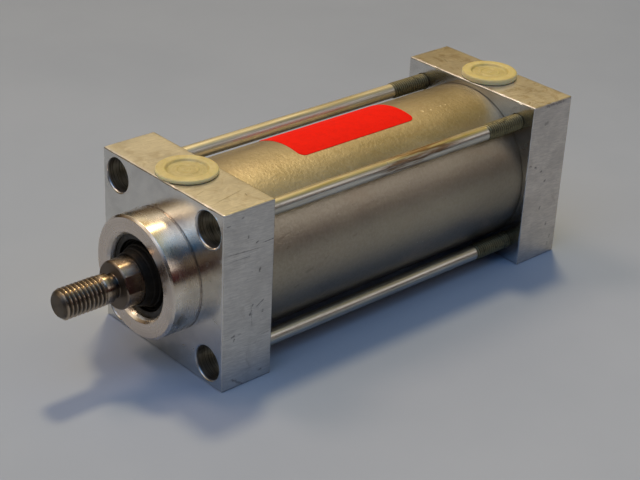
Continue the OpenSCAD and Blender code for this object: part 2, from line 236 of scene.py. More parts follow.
# ---------------------------------------------------------------- materials
def head_metal(name, rear=False):
    """Raw milled aluminium: sawn sides with fine lines along the rod, faced ends, nicks and stains."""
    s = Mat(name)
    off = (13.0, 5.0, 41.0) if rear else (0.0, 0.0, 0.0)
    nx, ny, nz = s.split(s.normal)
    end = s.span(s.math("ABSOLUTE", ny), 0.6, 0.8)           # 1 on faces square to the rod
    top = s.span(s.math("ABSOLUTE", nz), 0.6, 0.8)
    # saw and mill lines: nearly along the rod, tilted a few degrees
    tilt = s.node("ShaderNodeVectorRotate", rotation_type="X_AXIS")
    s.put(tilt.inputs["Vector"], s.pos)
    tilt.inputs["Angle"].default_value = math.radians(4)
    t2 = s.node("ShaderNodeVectorRotate", rotation_type="Z_AXIS")
    s.put(t2.inputs["Vector"], tilt.outputs[0])
    t2.inputs["Angle"].default_value = math.radians(6)
    lines = s.noise(1.0, 3, 0.65, s.stretch(2.6, 0.06, 2.6, off, t2.outputs[0]))
    fine = s.noise(1.0, 2, 0.6, s.stretch(9.0, 0.25, 9.0, off, t2.outputs[0]))
    deep = s.span(s.noise(1.0, 1, 0.5, s.stretch(0.9, 0.035, 0.9, (3 + off[0], 1, 8), t2.outputs[0])), 0.66, 0.75)
    # faced ends: faint cutter arcs round the rod axis and a light vertical grain
    r = s.vmath("LENGTH", s.join(s.x, 0.0, s.z))
    arcs = s.noise(1.0, 2, 0.6, s.join(s.mul(r, 2.2), 0.0, s.mul(s.noise(0.05, 1), 2.0)))
    grain = s.noise(1.0, 3, 0.6, s.stretch(3.5, 1.0, 0.35, off))
    blotch = s.noise(0.09, 4, 0.62, s.stretch(1, 1, 1, off), 0.6)
    stain = s.span(s.noise(0.16, 5, 0.7, s.stretch(1, 0.8, 1, (off[0] + 7, 3, 2)), 1.2), 0.56, 0.72)
    speck = s.span(s.cells(0.55, s.stretch(1, 1, 1, off)), 0.045, 0.09, 1, 0)
    speck = s.mul(speck, s.span(s.noise(0.12, 2, 0.5, s.stretch(1, 1, 1, (off[0] + 31, 0, 0))), 0.50, 0.62))
    # named handling marks on the seen side face and top
    w = HALF
    if rear:
        marks = s.any(
            s.scratch((w, 139.2, 8.4), (0, 1, -0.2), 1.5, 0.5, 0.9),
            s.scratch((w, 142.1, 7.2), (0, 1, -0.2), 1.6, 0.5, 0.9),
            s.scratch((w, 145.4, 4.8), (0, 1, 0.2), 1.5, 0.46, 0.9),
            s.scratch((w, 148.1, 0.4), (0, 1, 0.2), 1.5, 0.5, 0.9),
            s.mul(s.scratch((w, 145.3, 23.6), (0, 1, 0.1), 2.6, 0.8, 1.4), 0.6),
            s.mul(s.scratch((w, 147.1, -10.2), (0, 0.3, 1), 1.8, 0.6, 1.2), 0.7),
            s.mul(s.scratch((w, 151.8, -18.0), (0, 0.3, 1), 1.8, 0.6, 1.2), 0.7),
            s.mul(s.scratch((w, 154.8, -24.1), (0, 0.3, 1), 1.8, 0.6, 1.2), 0.7),
            s.mul(s.scratch((w, 154.0, -26.9), (0, 0.3, 1), 1.6, 0.6, 1.2), 0.6),
            s.mul(s.scratch((w, 149.0, 30.2), (0, 1, 0.0), 13.0, 0.7, 1.6), 0.8),
        )
        hard = s.any(s.scratch((13.5, 150, w), (1, 0.15, 0), 5.0, 0.3, 0.4),
                     s.scratch((-20.0, 146, w), (1, -0.4, 0), 4.0, 0.3, 0.4))
        shine = s.any(
            s.scratch((w, 143.8, 6.3), (0, 1, 0.45), 4.4, 0.16, 0.2),
            s.scratch((w, 141.2, 5.0), (0, 1, -0.35), 2.6, 0.14, 0.2),
            s.scratch((w, 146.4, 2.4), (0, 1, -0.2), 3.2, 0.14, 0.2),
            s.scratch((30.3, 144.0, w), (0.25, 1, 0), 1.8, 0.34, 0.4),
            s.scratch((30.4, 148.2, w), (0.1, 1, 0), 2.4, 0.36, 0.4),
            s.scratch((30.2, 152.2, w), (-0.1, 1, 0), 1.6, 0.32, 0.4),
        )
    else:
        marks = s.any(
            s.scratch((w, 17.9, 17.6), (0, 1, 0.04), 5.6, 0.22, 0.3),
            s.mul(s.scratch((w, 7.7, 16.6), (0, 1, -0.074), 17.0, 0.17, 0.22), 0.75),
            s.mul(s.scratch((w, 6.6, 14.5), (0, 1, -0.033), 10.0, 0.15, 0.2), 0.65),
            s.scratch((w, 13.1, 18.4), (0, 1, 0.3), 1.5, 0.42, 0.8),
            s.mul(s.scratch((w, 9.6, 21.2), (0, 0.3, 1), 1.4, 0.40, 0.8), 0.8),
            s.mul(s.scratch((w, 7.2, 28.3), (0, 1, 0.3), 1.4, 0.40, 0.8), 0.7),
            s.mul(s.scratch((w, 1.9, 26.9), (0, 1, 0.1), 1.8, 0.30, 0.5), 0.8),
            s.mul(s.scratch((w, 14.4, 8.5), (0, 0.35, 1), 2.0, 0.60, 1.2), 0.8),
            s.scratch((w, 14.9, -3.4), (0, 0.86, 0.51), 4.0, 0.30, 0.4),
            s.scratch((w, 11.8, -3.3), (0, 0.5, 0.8), 1.2, 0.42, 0.7),
            s.mul(s.scratch((w, 11.5, -7.0), (0, -0.07, 1), 9.0, 0.30, 0.7), 0.6),
            s.scratch((w, 10.9, -6.1), (0, 0.2, 1), 1.5, 0.46, 0.8),
            s.mul(s.scratch((w, 15.9, -6.6), (0, 0.3, 1), 1.5, 0.46, 0.8), 0.7),
            s.scratch((w, 4.2, -11.9), (0, 0.9, 0.3), 1.9, 0.42, 0.7),
            s.mul(s.scratch((w, 4.6, -13.3), (0, 0.6, 1), 1.5, 0.38, 0.7), 0.9),
            s.mul(s.scratch((w, 6.8, -11.9), (0, 1, 0.0), 1.7, 0.34, 0.6), 0.6),
            s.mul(s.scratch((w, 17.4, -15.0), (0, 1, 0.03), 4.2, 0.32, 0.6), 0.45),
            s.mul(s.scratch((w, 15.4, -28.0), (0, 1, 0.3), 1.8, 0.5, 1.0), 0.8),
            s.mul(s.scratch((w, 6.4, -29.2), (0, 1, -0.7), 8.0, 0.5, 1.2), 0.8),
        )
        hard = s.any(
            s.scratch((21.5, 9.5, w), (-0.22, 1, 0), 15.0, 0.17, 0.12),
            s.scratch((23.5, 14.5, w), (0.9, -0.3, 0), 2.0, 0.3, 0.3),
            s.scratch((14.5, 4.0, w), (-0.3, 1, 0), 4.5, 0.14, 0.1),
        )
        shine = s.any(
            s.scratch((w, 8.0, 15.4), (0, 1, -0.05), 14.0, 0.22, 0.3),
            s.scratch((w, 15.2, -4.6), (0, 0.8, 0.6), 2.6, 0.16, 0.2),
            s.scratch((27.9, 4.0, w), (0.2, 1, 0), 2.2, 0.30, 0.5),
        )
    marks = s.mul(marks, s.span(s.noise(1.7, 3, 0.7), 0.34, 0.56, 0.45, 1.0))
    # inside the deep counterbores: dull, drilled round and round, a little oily
    bx = s.math("SUBTRACT", s.math("ABSOLUTE", s.x), TIE)
    bz = s.math("SUBTRACT", s.math("ABSOLUTE", s.z), TIE)
    depth = s.math("SUBTRACT", BODY, s.y) if rear else s.y
    bore = s.mul(s.span(s.vmath("LENGTH", s.join(bx, 0.0, bz)), 5.80, 5.92, 1, 0), s.span(depth, 0.55, 0.95), s.span(depth, 16.3, 16.9, 1, 0))
    drill = s.noise(1.0, 2, 0.6, s.join(s.mul(s.y, 3.2), s.mul(s.noise(0.12, 2), 2.0), 0.0))
    side = s.math("SUBTRACT", 1.0, end)
    base = s.ramp(blotch, [(0.30, (0.55, 0.54, 0.52)), (0.52, (0.66, 0.65, 0.625)), (0.75, (0.74, 0.73, 0.70))])
    base = s.mix(s.mul(s.span(lines, 0.35, 0.65), side, 0.40), base, (0.40, 0.40, 0.41))
    base = s.mix(s.mul(stain, 0.35), base, (0.40, 0.385, 0.36))
    brown = s.span(s.noise(0.11, 5, 0.68, s.stretch(1, 1, 1, (off[0] + 19, 8, 5)), 1.5), 0.50, 0.66)
    pale = s.span(s.noise(0.22, 4, 0.66, s.stretch(1, 0.7, 1, (off[0] + 2, 17, 5)), 1.0), 0.55, 0.70)
    base = s.mix(s.mul(brown, top, 0.62 if rear else 0.30), base, (0.33, 0.27, 0.20))
    base = s.mix(s.mul(pale, top, 0.45), base, (0.78, 0.765, 0.74))
    base = s.mix(s.mul(deep, side, 0.24), base, (0.34, 0.34, 0.345))
    base = s.mix(s.mul(speck, 0.55), base, (0.16, 0.15, 0.15))
    base = s.mix(s.mul(marks, 0.62), base, (0.13, 0.13, 0.13))
    base = s.mix(s.mul(shine, 0.45), base, (0.86, 0.84, 0.80))
    base = s.mix(s.mul(hard, 0.55), base, (0.20, 0.18, 0.14))
    base = s.mix(s.mul(bore, 0.94), base, s.mix(s.span(drill, 0.35, 0.65), (0.30, 0.29, 0.275), (0.80, 0.78, 0.75)))
    if rear:
        # on the rear head the side faces are tinted a little warmer, and the top carries painted light: darker toward
        # -X, brighter and bluer toward +X
        base = s.mix(s.mul(side, s.math("SUBTRACT", 1.0, top)), base, s.mix(1.0, base, (1.03, 0.975, 0.93), "MULTIPLY"))
        base = s.mix(top, base, s.mix(1.0, base, s.mix(s.span(s.x, -26, 28, smooth=False), (0.80, 0.79, 0.84), (1.16, 1.19, 1.36)), "MULTIPLY"))
    rough_side = s.add(0.30, s.mul(lines, 0.16), s.mul(fine, 0.08), s.mul(stain, 0.08))
    rough_top = s.add(0.24, s.mul(lines, 0.14), s.mul(fine, 0.06), s.mul(stain, 0.12))
    rough_end = s.add(0.17, s.mul(grain, 0.10), s.mul(stain, 0.08))
    rough = s.mix(top, rough_side, rough_top)
    rough = s.mix(end, rough, rough_end)
    rough = s.mix(s.mul(marks, 0.8), rough, (0.75, 0.75, 0.75))
    rough = s.mix(bore, rough, (0.30, 0.30, 0.30))
    h = s.add(
        s.mul(side, s.add(s.mul(lines, 0.016), s.mul(fine, 0.0045), s.mul(deep, -0.010))),
        s.mul(end, s.add(s.mul(arcs, 0.0014), s.mul(grain, 0.0022))),
        s.mul(blotch, 0.03), s.mul(speck, -0.03), s.mul(marks, -0.06), s.mul(hard, -0.03), s.mul(shine, 0.02), s.mul(bore, drill, 0.03),
    )
    s.bump(h)
    return s.set(Base_Color=base, Metallic=1.0, Roughness=rough)


def across_lines(s, amount):
    """Turning lines run round the rod axis, so reflections are drawn out across them."""
    tan = s.node("ShaderNodeTangent", direction_type="RADIAL", axis="Y")
    s.put(s.p.inputs["Tangent"], tan.outputs[0])
    s.p.inputs["Anisotropic"].default_value = amount
    s.p.inputs["Anisotropic Rotation"].default_value = 0.25


def turned_metal(name, base=(0.92, 0.86, 0.765), dark=(0.68, 0.635, 0.56), rough=0.22, ring=0.0016, aniso=0.75, face=(0.80, 0.755, 0.76)):
    """Lathe-turned metal about the rod axis: rings on faces, fine feed lines round the barrel, small pits; painted
    shade darkens the end faces and a painted warm reflection sits on one flank.
    """
    s = Mat(name)
    r = s.vmath("LENGTH", s.join(s.x, 0.0, s.z))
    nx, ny, nz = s.split(s.normal)
    end = s.span(s.math("ABSOLUTE", ny), 0.5, 0.85)
    along = s.mix(end, s.y, r)
    a = s.noise(1.0, 2, 0.6, s.join(s.mul(along, 4.5), s.mul(s.noise(0.04, 1), 1.5), 0.0))
    b = s.noise(1.0, 1, 0.5, s.join(s.mul(along, 12.0), 3.0, 0.0))
    cloud = s.noise(0.13, 4, 0.6, dist=0.7)
    smear = s.noise(1.0, 3, 0.6, s.stretch(0.22, 1.1, 0.22))
    pit = s.mul(s.span(s.cells(0.8), 0.05, 0.10, 1, 0), s.span(s.noise(0.2, 2, 0.5, s.stretch(1, 1, 1, (9, 4, 2))), 0.55, 0.65))
    tex = s.add(s.mul(a, 0.55), s.mul(b, 0.45))
    col = s.mix(s.span(tex, 0.3, 0.7), dark, base)
    # painted shade: end faces are multiplied darker and a little pinker than the barrel
    col = s.mix(end, col, s.mix(1.0, col, face, "MULTIPLY"))
    straw = s.mul(s.span(s.x, 5, 14), s.span(s.z, 1, 7), s.math("SUBTRACT", 1.0, end))   # painted warm reflection on one flank
    col = s.mix(straw, col, s.mix(1.0, col, (1.04, 0.93, 0.80), "MULTIPLY"))
    col = s.mix(s.mul(s.span(cloud, 0.5, 0.75), 0.35), col, tuple(0.78 * c for c in dark))
    col = s.mix(s.mul(pit, 0.8), col, (0.06, 0.06, 0.06))
    rr = s.add(rough, s.mul(b, 0.05), s.mul(s.span(cloud, 0.45, 0.8), 0.14), s.mul(s.span(smear, 0.5, 0.8), 0.10))
    rr = s.mix(s.mul(pit, 0.9), rr, (0.7, 0.7, 0.7))
    s.bump(s.add(s.mul(a, ring), s.mul(b, ring * 0.35), s.mul(cloud, 0.012), s.mul(pit, -0.03)))
    s.set(Base_Color=col, Metallic=1.0, Roughness=rr)
    if aniso:
        across_lines(s, aniso)
    return s.m


def tube_metal(name):
    """Satin grey-brown metal tube with a fine cast-like skin, faint patches and a few pale specks; painted shade
    darkens its lower flank and its rear end.
    """
    s = Mat(name)
    skin = s.noise(0.95, 3, 0.6, dist=0.4)
    skin2 = s.noise(2.3, 2, 0.55)
    patch = s.noise(0.055, 4, 0.6, s.stretch(1, 0.55, 1), 0.8)
    band = s.noise(1.0, 3, 0.6, s.stretch(0.16, 0.03, 0.16, (4, 1, 9)))
    pores = s.mul(s.span(s.cells(0.75), 0.05, 0.13, 1, 0), s.span(s.noise(0.16, 2), 0.47, 0.6))
    spark = s.mul(s.span(s.cells(0.42, s.stretch(1, 1, 1, (17, 3, 5))), 0.045, 0.085, 1, 0), s.span(s.noise(0.11, 2, 0.5, s.stretch(1, 1, 1, (2, 30, 9))), 0.56, 0.66))
    a = math.radians(100)
    named = s.any(*[s.scratch((TUBE_R * math.cos(math.radians(t)), y, TUBE_R * math.sin(math.radians(t))), (1, 0.2, 0), l, w)
                    for t, y, l, w in ((79.7, 108.8, 1.2, 0.44), (78.7, 112.3, 0.8, 0.36), (79.2, 117.4, 0.7, 0.34), (78.9, 119.7, 0.8, 0.36))])
    scuffs = s.any(*[s.scratch((TUBE_R * math.cos(math.radians(t)), y, TUBE_R * math.sin(math.radians(t))), (0.2, 1, 0.3), l, w, 0.9)
                     for t, y, l, w in ((-6.2, 74.2, 3.4, 0.55), (-8.8, 32.0, 3.0, 0.5), (-0.3, 37.0, 4.0, 0.8), (12.0, 57.0, 3.2, 0.45), (20.0, 29.0, 2.6, 0.5), (4.0, 44.0, 3.0, 0.4))])
    col = s.ramp(patch, [(0.28, (0.36, 0.32, 0.245)), (0.5, (0.43, 0.38, 0.285)), (0.72, (0.475, 0.42, 0.31))])
    col = s.mix(s.mul(s.span(band, 0.45, 0.7), 0.3), col, (0.42, 0.35, 0.28))
    col = s.mix(s.mul(s.span(skin, 0.35, 0.65), 0.42), col, (0.52, 0.47, 0.37))
    col = s.mix(s.mul(pores, 0.5), col, (0.13, 0.12, 0.10))
    col = s.mix(s.mul(scuffs, 0.26), col, (0.15, 0.13, 0.105))
    # painted shade: the lower flank on the +X side is darkened and cooled
    painted_low_flank_shade = s.math("ARCTAN2", s.z, s.x)
    painted_low_flank_shade = s.mul(s.span(painted_low_flank_shade, math.radians(-30), math.radians(24), 1, 0), s.span(s.x, -6, 2))
    col = s.mix(painted_low_flank_shade, col, s.mix(1.0, col, (0.40, 0.43, 0.50), "MULTIPLY"))
    # painted shade: the tube darkens toward the rear head
    dull = s.mul(s.span(s.y, 94, 128), 0.9)
    col = s.mix(dull, col, s.mix(1.0, col, (0.76, 0.755, 0.74), "MULTIPLY"))
    rust = s.span(s.noise(0.045, 4, 0.62, s.stretch(1, 0.5, 1, (3, 2, 21)), 0.9), 0.50, 0.68)
    col = s.mix(s.mul(rust, 0.30), col, (0.40, 0.30, 0.21))
    col = s.mix(s.any(s.mul(spark, 0.5), s.mul(named, 0.8)), col, (0.80, 0.76, 0.66))
    rough = s.add(0.33, s.mul(skin2, 0.09), s.mul(s.span(patch, 0.35, 0.7), 0.06), s.mul(pores, 0.15))
    s.bump(s.add(s.mul(skin, 0.082), s.mul(skin2, 0.028), s.mul(pores, -0.04), s.mul(spark, 0.02), s.mul(named, 0.03)))
    return s.set(Base_Color=col, Metallic=0.92, Roughness=rough)


def rod_steel(name):
    """Dark ground steel: polished shank, machined flats, oily thread; painted shade darkens the neck, the shoulder face
    and the lower side of the shank.
    """
    s = Mat(name)
    r = s.vmath("LENGTH", s.join(s.x, 0.0, s.z))
    thread = s.span(s.y, -20.5, -19.0, 1, 0)
    feed = s.noise(1.0, 2, 0.6, s.join(s.mul(s.y, 7.0), s.mul(s.noise(0.06, 1), 1.3), 0.0))
    draw = s.noise(1.0, 3, 0.6, s.stretch(2.2, 0.10, 2.2))
    cloud = s.noise(0.2, 4, 0.65, dist=0.8)
    root = s.mul(thread, s.span(r, THREAD_R - 0.85, THREAD_R - 0.15, 1, 0))
    col = s.mix(s.span(cloud, 0.35, 0.7), (0.34, 0.275, 0.215), (0.45, 0.365, 0.285))
    col = s.mix(s.mul(s.span(draw, 0.5, 0.75), 0.3), col, (0.26, 0.21, 0.165))
    col = s.mix(s.mul(thread, 0.35), col, (0.46, 0.375, 0.27))
    col = s.mix(s.mul(root, 0.8), col, (0.07, 0.06, 0.05))
    nx, ny, nz = s.split(s.normal)
    # painted shade: the shoulder face square to the rod is darkened to dark brown
    step = s.mul(s.span(s.math("ABSOLUTE", ny), 0.5, 0.9), s.span(s.y, -19.2, -18.6), s.span(s.y, -18.0, -17.4, 1, 0))
    col = s.mix(s.mul(step, 0.8), col, s.mix(s.span(cloud, 0.35, 0.65), (0.10, 0.075, 0.055), (0.20, 0.16, 0.125)))
    # painted shade in the plain neck and relief groove
    neck = s.mul(s.span(s.y, -22.6, -21.6), s.span(s.y, -18.4, -18.0, 1, 0))
    col = s.mix(s.mul(neck, 0.85), col, (0.115, 0.09, 0.068))
    # painted shade on the lower side of the shank
    painted_underside_shade = s.mul(s.span(s.z, -1.0, 5.5, 1, 0), s.span(s.y, -18.3, -17.9))
    col = s.mix(s.mul(painted_underside_shade, 0.55), col, (0.15, 0.122, 0.10))
    rough = s.add(0.20, s.mul(feed, 0.05), s.mul(s.span(cloud, 0.4, 0.8), 0.10), s.mul(thread, 0.02), s.mul(root, 0.25), s.mul(step, 0.2))
    across_lines(s, 0.7)
    s.bump(s.add(s.mul(feed, 0.0016), s.mul(draw, 0.0016), s.mul(cloud, 0.006), s.mul(thread, s.noise(1.6, 3), 0.02)))
    return s.set(Base_Color=col, Metallic=1.0, Roughness=rough)


def tie_steel(name):
    """Drawn plated rod with streaks along it; the threaded ends are dull olive."""
    s = Mat(name)
    y0 = BODY - HEAD_T - 17.2
    thread = s.math("MAXIMUM", s.span(s.y, y0 - 0.2, y0 + 0.5), s.span(s.y, HEAD_T - 1.5, HEAD_T - 0.8, 1, 0))
    lx = s.math("SUBTRACT", s.math("ABSOLUTE", s.x), TIE)
    lz = s.math("SUBTRACT", s.math("ABSOLUTE", s.z), TIE)
    r = s.vmath("LENGTH", s.join(lx, 0.0, lz))
    streak = s.noise(1.0, 3, 0.6, s.stretch(1.7, 0.035, 1.7))
    streak2 = s.noise(1.0, 2, 0.6, s.stretch(5.0, 0.08, 5.0, (4, 0, 2)))
    cloud = s.noise(0.14, 4, 0.6, s.stretch(1, 0.5, 1), 0.8)
    tick = s.any(s.scratch((-TIE, 67.0, TIE + 2.6), (1, 0.12, -0.6), 3.6, 0.16), s.scratch((-TIE + 1.5, 66.4, TIE + 2.1), (0.5, 1, -0.3), 2.0, 0.14),
                 s.scratch((TIE + 1.9, 73.0, TIE + 1.7), (0.7, 0, -0.7), 2.4, 0.16), s.scratch((TIE + 1.0, 66.0, TIE + 2.3), (0.8, 0.2, -0.4), 1.6, 0.12))
    dirt = s.span(s.noise(0.5, 4, 0.7, s.stretch(1, 0.8, 1, (5, 5, 5)), 0.6), 0.5, 0.72)
    col = s.mix(s.span(streak, 0.3, 0.7), (0.46, 0.445, 0.38), (0.70, 0.69, 0.63))
    col = s.mix(s.mul(s.span(streak2, 0.45, 0.7), 0.35), col, (0.38, 0.37, 0.33))
    col = s.mix(s.mul(s.span(cloud, 0.52, 0.75), 0.4), col, (0.44, 0.40, 0.30))
    olive = s.mix(dirt, (0.30, 0.275, 0.165), (0.15, 0.138, 0.085))
    root = s.span(r, 2.45, 2.9, 1, 0)
    olive = s.mix(s.mul(root, 0.55), olive, (0.05, 0.047, 0.035))
    col = s.mix(thread, col, olive)
    col = s.mix(s.mul(tick, 0.8), col, (0.07, 0.065, 0.055))
    seep = s.mul(s.span(s.y, 62, 74), s.span(s.y, 98, 112, 1, 0), s.span(s.x, 8, 16), s.span(s.z, 8, 16),
                 s.span(s.noise(1.0, 3, 0.6, s.stretch(0.9, 0.05, 0.9, (2, 7, 1))), 0.42, 0.60))
    col = s.mix(s.mul(seep, 0.9), col, (0.21, 0.125, 0.06))
    rough = s.add(0.28, s.span(s.x, -16, -8, 0.09, 0.0), s.mul(seep, 0.08), s.mul(streak, 0.10), s.mul(s.span(cloud, 0.4, 0.8), 0.10), s.mul(thread, s.add(0.16, s.mul(dirt, 0.2))), s.mul(tick, 0.4))
    s.bump(s.add(s.mul(streak, 0.010), s.mul(streak2, 0.003), s.mul(cloud, 0.01), s.mul(tick, -0.04), s.mul(thread, s.noise(2.0, 3), 0.03)))
    return s.set(Base_Color=col, Metallic=1.0, Roughness=rough)


def plated(name, base=(0.50, 0.46, 0.34), dark=(0.30, 0.27, 0.19), rough=0.3):
    """Plated turned steel for nuts, washers and the like."""
    s = Mat(name)
    cloud = s.noise(0.35, 4, 0.65, dist=0.9)
    fine = s.noise(2.4, 3, 0.6)
    feed = s.noise(1.0, 2, 0.6, s.stretch(0.6, 6.0, 0.6))
    col = s.mix(s.span(cloud, 0.3, 0.7), dark, base)
    col = s.mix(s.mul(s.span(fine, 0.55, 0.75), 0.35), col, tuple(0.6 * c for c in dark))
    s.bump(s.add(s.mul(feed, 0.004), s.mul(fine, 0.008)))
    return s.set(Base_Color=col, Metallic=1.0, Roughness=s.add(rough, s.mul(cloud, 0.15), s.mul(fine, 0.05)))


def rubber(name, base=(0.010, 0.0088, 0.0076), rough=0.36):
    """Moulded black rubber with a faint bloom and dust."""
    s = Mat(name)
    r = s.vmath("LENGTH", s.join(s.x, 0.0, s.z))
    bloom = s.noise(0.5, 4, 0.65, dist=0.5)
    grain = s.noise(5.0, 2, 0.5)
    rings = s.noise(1.0, 2, 0.5, s.join(s.mul(r, 3.0), s.mul(s.y, 3.0), 0.0))
    dust = s.mul(s.span(s.cells(1.3), 0.05, 0.12, 1, 0), s.span(s.noise(0.5, 2), 0.5, 0.62))
    col = s.mix(s.span(bloom, 0.4, 0.75), base, tuple(1.9 * c for c in base))
    col = s.mix(s.mul(dust, 0.4), col, (0.10, 0.09, 0.075))
    s.bump(s.add(s.mul(grain, 0.004), s.mul(rings, 0.012), s.mul(bloom, 0.015)))
    return s.set(Base_Color=col, Roughness=s.add(rough, s.mul(bloom, 0.16), s.mul(dust, 0.3)), Specular_IOR_Level=0.10, Specular_Tint=(1.0, 0.86, 0.70))


def black_steel(name):
    """Black-oxide spring steel, faintly mottled."""
    s = Mat(name)
    cloud = s.noise(0.7, 4, 0.65, dist=0.6)
    fine = s.noise(4.0, 2)
    col = s.mix(s.span(cloud, 0.35, 0.7), (0.020, 0.019, 0.018), (0.060, 0.056, 0.052))
    s.bump(s.add(s.mul(fine, 0.004), s.mul(cloud, 0.01)))
    return s.set(Base_Color=col, Metallic=0.85, Roughness=s.add(0.30, s.mul(cloud, 0.18)))


def bronze(name):
    """Sintered bronze with open pores."""
    s = Mat(name)
    pore = s.span(s.cells(3.2), 0.10, 0.22, 1, 0)
    cloud = s.noise(0.5, 4, 0.6)
    col = s.mix(s.span(cloud, 0.3, 0.7), (0.42, 0.26, 0.11), (0.60, 0.40, 0.19))
    col = s.mix(s.mul(pore, 0.6), col, (0.10, 0.06, 0.03))
    s.bump(s.add(s.mul(pore, -0.02), s.mul(cloud, 0.01)))
    return s.set(Base_Color=col, Metallic=0.9, Roughness=s.add(0.36, s.mul(cloud, 0.16), s.mul(pore, 0.1)))


def guide_plastic(name):
    """Filled green-grey bearing plastic with flow marks."""
    s = Mat(name)
    flow = s.noise(1.0, 4, 0.6, s.stretch(0.3, 1.4, 0.3), 1.0)
    fleck = s.span(s.cells(4.0), 0.08, 0.16, 1, 0)
    col = s.mix(s.span(flow, 0.3, 0.7), (0.045, 0.085, 0.078), (0.09, 0.15, 0.14))
    col = s.mix(s.mul(fleck, 0.4), col, (0.25, 0.26, 0.22))
    s.bump(s.add(s.mul(flow, 0.01), s.mul(fleck, 0.006)))
    return s.set(Base_Color=col, Roughness=s.add(0.48, s.mul(flow, 0.15)))


def plug_plastic(name, y_centre):
    """Translucent straw-coloured moulded polyethylene: cloudy, waxy, with swirl marks."""
    s = Mat(name)
    ly = s.math("SUBTRACT", s.y, y_centre)
    r = s.vmath("LENGTH", s.join(s.x, ly, 0.0))
    cloud = s.noise(0.22, 4, 0.62, dist=1.0)
    swirl = s.noise(1.0, 3, 0.6, s.join(s.mul(r, 1.3), s.mul(s.noise(0.14, 2), 3.0), y_centre))
    fine = s.noise(3.0, 3, 0.6)
    scuff = s.span(s.noise(1.0, 3, 0.7, s.stretch(0.8, 3.5, 1.0, (y_centre, 2, 0)), 0.6), 0.60, 0.74)
    painted_dish_shade = s.span(r, 5.6, 7.0, 1, 0)
    col = s.ramp(cloud, [(0.3, (0.57, 0.475, 0.19)), (0.55, (0.655, 0.56, 0.26)), (0.75, (0.71, 0.62, 0.325))] if y_centre < 80 else
                 [(0.3, (0.57, 0.465, 0.16)), (0.55, (0.65, 0.55, 0.215)), (0.75, (0.70, 0.60, 0.265))])
    # painted shade in the dish, varying with the cloud
    col = s.mix(s.mul(painted_dish_shade, s.span(cloud, 0.30, 0.62, 0.75, 0.40)), col, (0.42, 0.345, 0.14))
    col = s.mix(s.mul(s.span(swirl, 0.45, 0.7), 0.25), col, (0.76, 0.68, 0.42))
    col = s.mix(s.mul(scuff, 0.3), col, (0.80, 0.74, 0.55))
    nx, ny, nz = s.split(s.normal)
    painted_edge_highlight = s.mul(s.span(s.math("ABSOLUTE", nz), 0.35, 0.8, 1, 0), s.span(r, 9.0, 9.6))       # thin outer edge painted brighter: a painted highlight standing in for light shining through the plastic
    col = s.mix(s.mul(painted_edge_highlight, 0.9), col, (0.95, 0.84, 0.46))
    rough = s.add(0.30, s.mul(cloud, 0.14), s.mul(scuff, 0.15), s.mul(fine, 0.05))
    s.bump(s.add(s.mul(swirl, 0.03), s.mul(fine, 0.006), s.mul(cloud, 0.05), s.mul(scuff, -0.01)))
    s.set(Base_Color=col, Roughness=rough, Specular_IOR_Level=0.55)
    s.p.inputs["Subsurface Weight"].default_value = 0.35
    s.p.inputs["Subsurface Radius"].default_value = (1.0, 0.75, 0.35)
    s.p.inputs["Subsurface Scale"].default_value = 0.0022
    return s.m


def red_film(name):
    """Bright red self-adhesive film, semi-gloss, faintly mottled and rubbed; no printing."""
    s = Mat(name)
    mottle = s.noise(0.42, 5, 0.7, dist=0.8)
    rub = s.span(s.noise(1.0, 4, 0.7, s.stretch(1.6, 0.22, 1.6, (3, 8, 1)), 0.5), 0.58, 0.76)
    fine = s.noise(3.2, 3, 0.6)
    col = s.ramp(mottle, [(0.30, (0.86, 0.004, 0.001)), (0.50, (0.95, 0.007, 0.002)), (0.72, (1.0, 0.012, 0.003))])
    col = s.mix(s.mul(rub, 0.35), col, (0.78, 0.005, 0.002))
    s.bump(s.add(s.mul(mottle, 0.015), s.mul(fine, 0.004)))
    return s.set(Base_Color=col, Roughness=s.add(0.46, s.mul(mottle, 0.16), s.mul(rub, 0.12)), Specular_IOR_Level=0.08)


# ---------------------------------------------------------------- mesh kit (millimetres in, metres out)
def piece(name, verts, faces, mat, body="housing", node=None, sharp=34.0, weighted=False):
    me = bpy.data.meshes.new(name)
    me.from_pydata([(x * MM, y * MM, z * MM) for x, y, z in verts], [], faces)
    ob = bpy.data.objects.new(name, me)
    bpy.context.scene.collection.objects.link(ob)
    return finish_piece(ob, mat, body, node, sharp, weighted)


def finish_piece(ob, mat, body, node, sharp=34.0, weighted=False):
    bm = bmesh.new()
    bm.from_mesh(ob.data)
    bmesh.ops.remove_doubles(bm, verts=bm.verts, dist=2e-7)
    bmesh.ops.dissolve_degenerate(bm, dist=1e-8, edges=bm.edges)
    loose = [v for v in bm.verts if not v.link_faces]
    bmesh.ops.delete(bm, geom=loose, context="VERTS")
    bmesh.ops.recalc_face_normals(bm, faces=bm.faces)
    lim = math.radians(sharp)
    for f in bm.faces:
        f.smooth = True
    for e in bm.edges:
        e.smooth = not (len(e.link_faces) == 2 and e.calc_face_angle(0.0) > lim)
    bm.to_mesh(ob.data)
    bm.free()
    ob.data.materials.clear()
    ob.data.materials.append(mat)
    if weighted:
        w = ob.modifiers.new("even_normals", "WEIGHTED_NORMAL")
        w.weight = 100
        w.keep_sharp = True
    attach(ob, body)
    if node:
        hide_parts(*([node] if isinstance(node, str) else node))
    return ob


def scratch_object(name, verts, faces):
    me = bpy.data.meshes.new(name)
    me.from_pydata([(x * MM, y * MM, z * MM) for x, y, z in verts], [], faces)
    bm = bmesh.new()
    bm.from_mesh(me)
    bmesh.ops.remove_doubles(bm, verts=bm.verts, dist=1e-7)
    bmesh.ops.recalc_face_normals(bm, faces=bm.faces)
    bm.to_mesh(me)
    bm.free()
    ob = bpy.data.objects.new(name, me)
    bpy.context.scene.collection.objects.link(ob)
    return ob


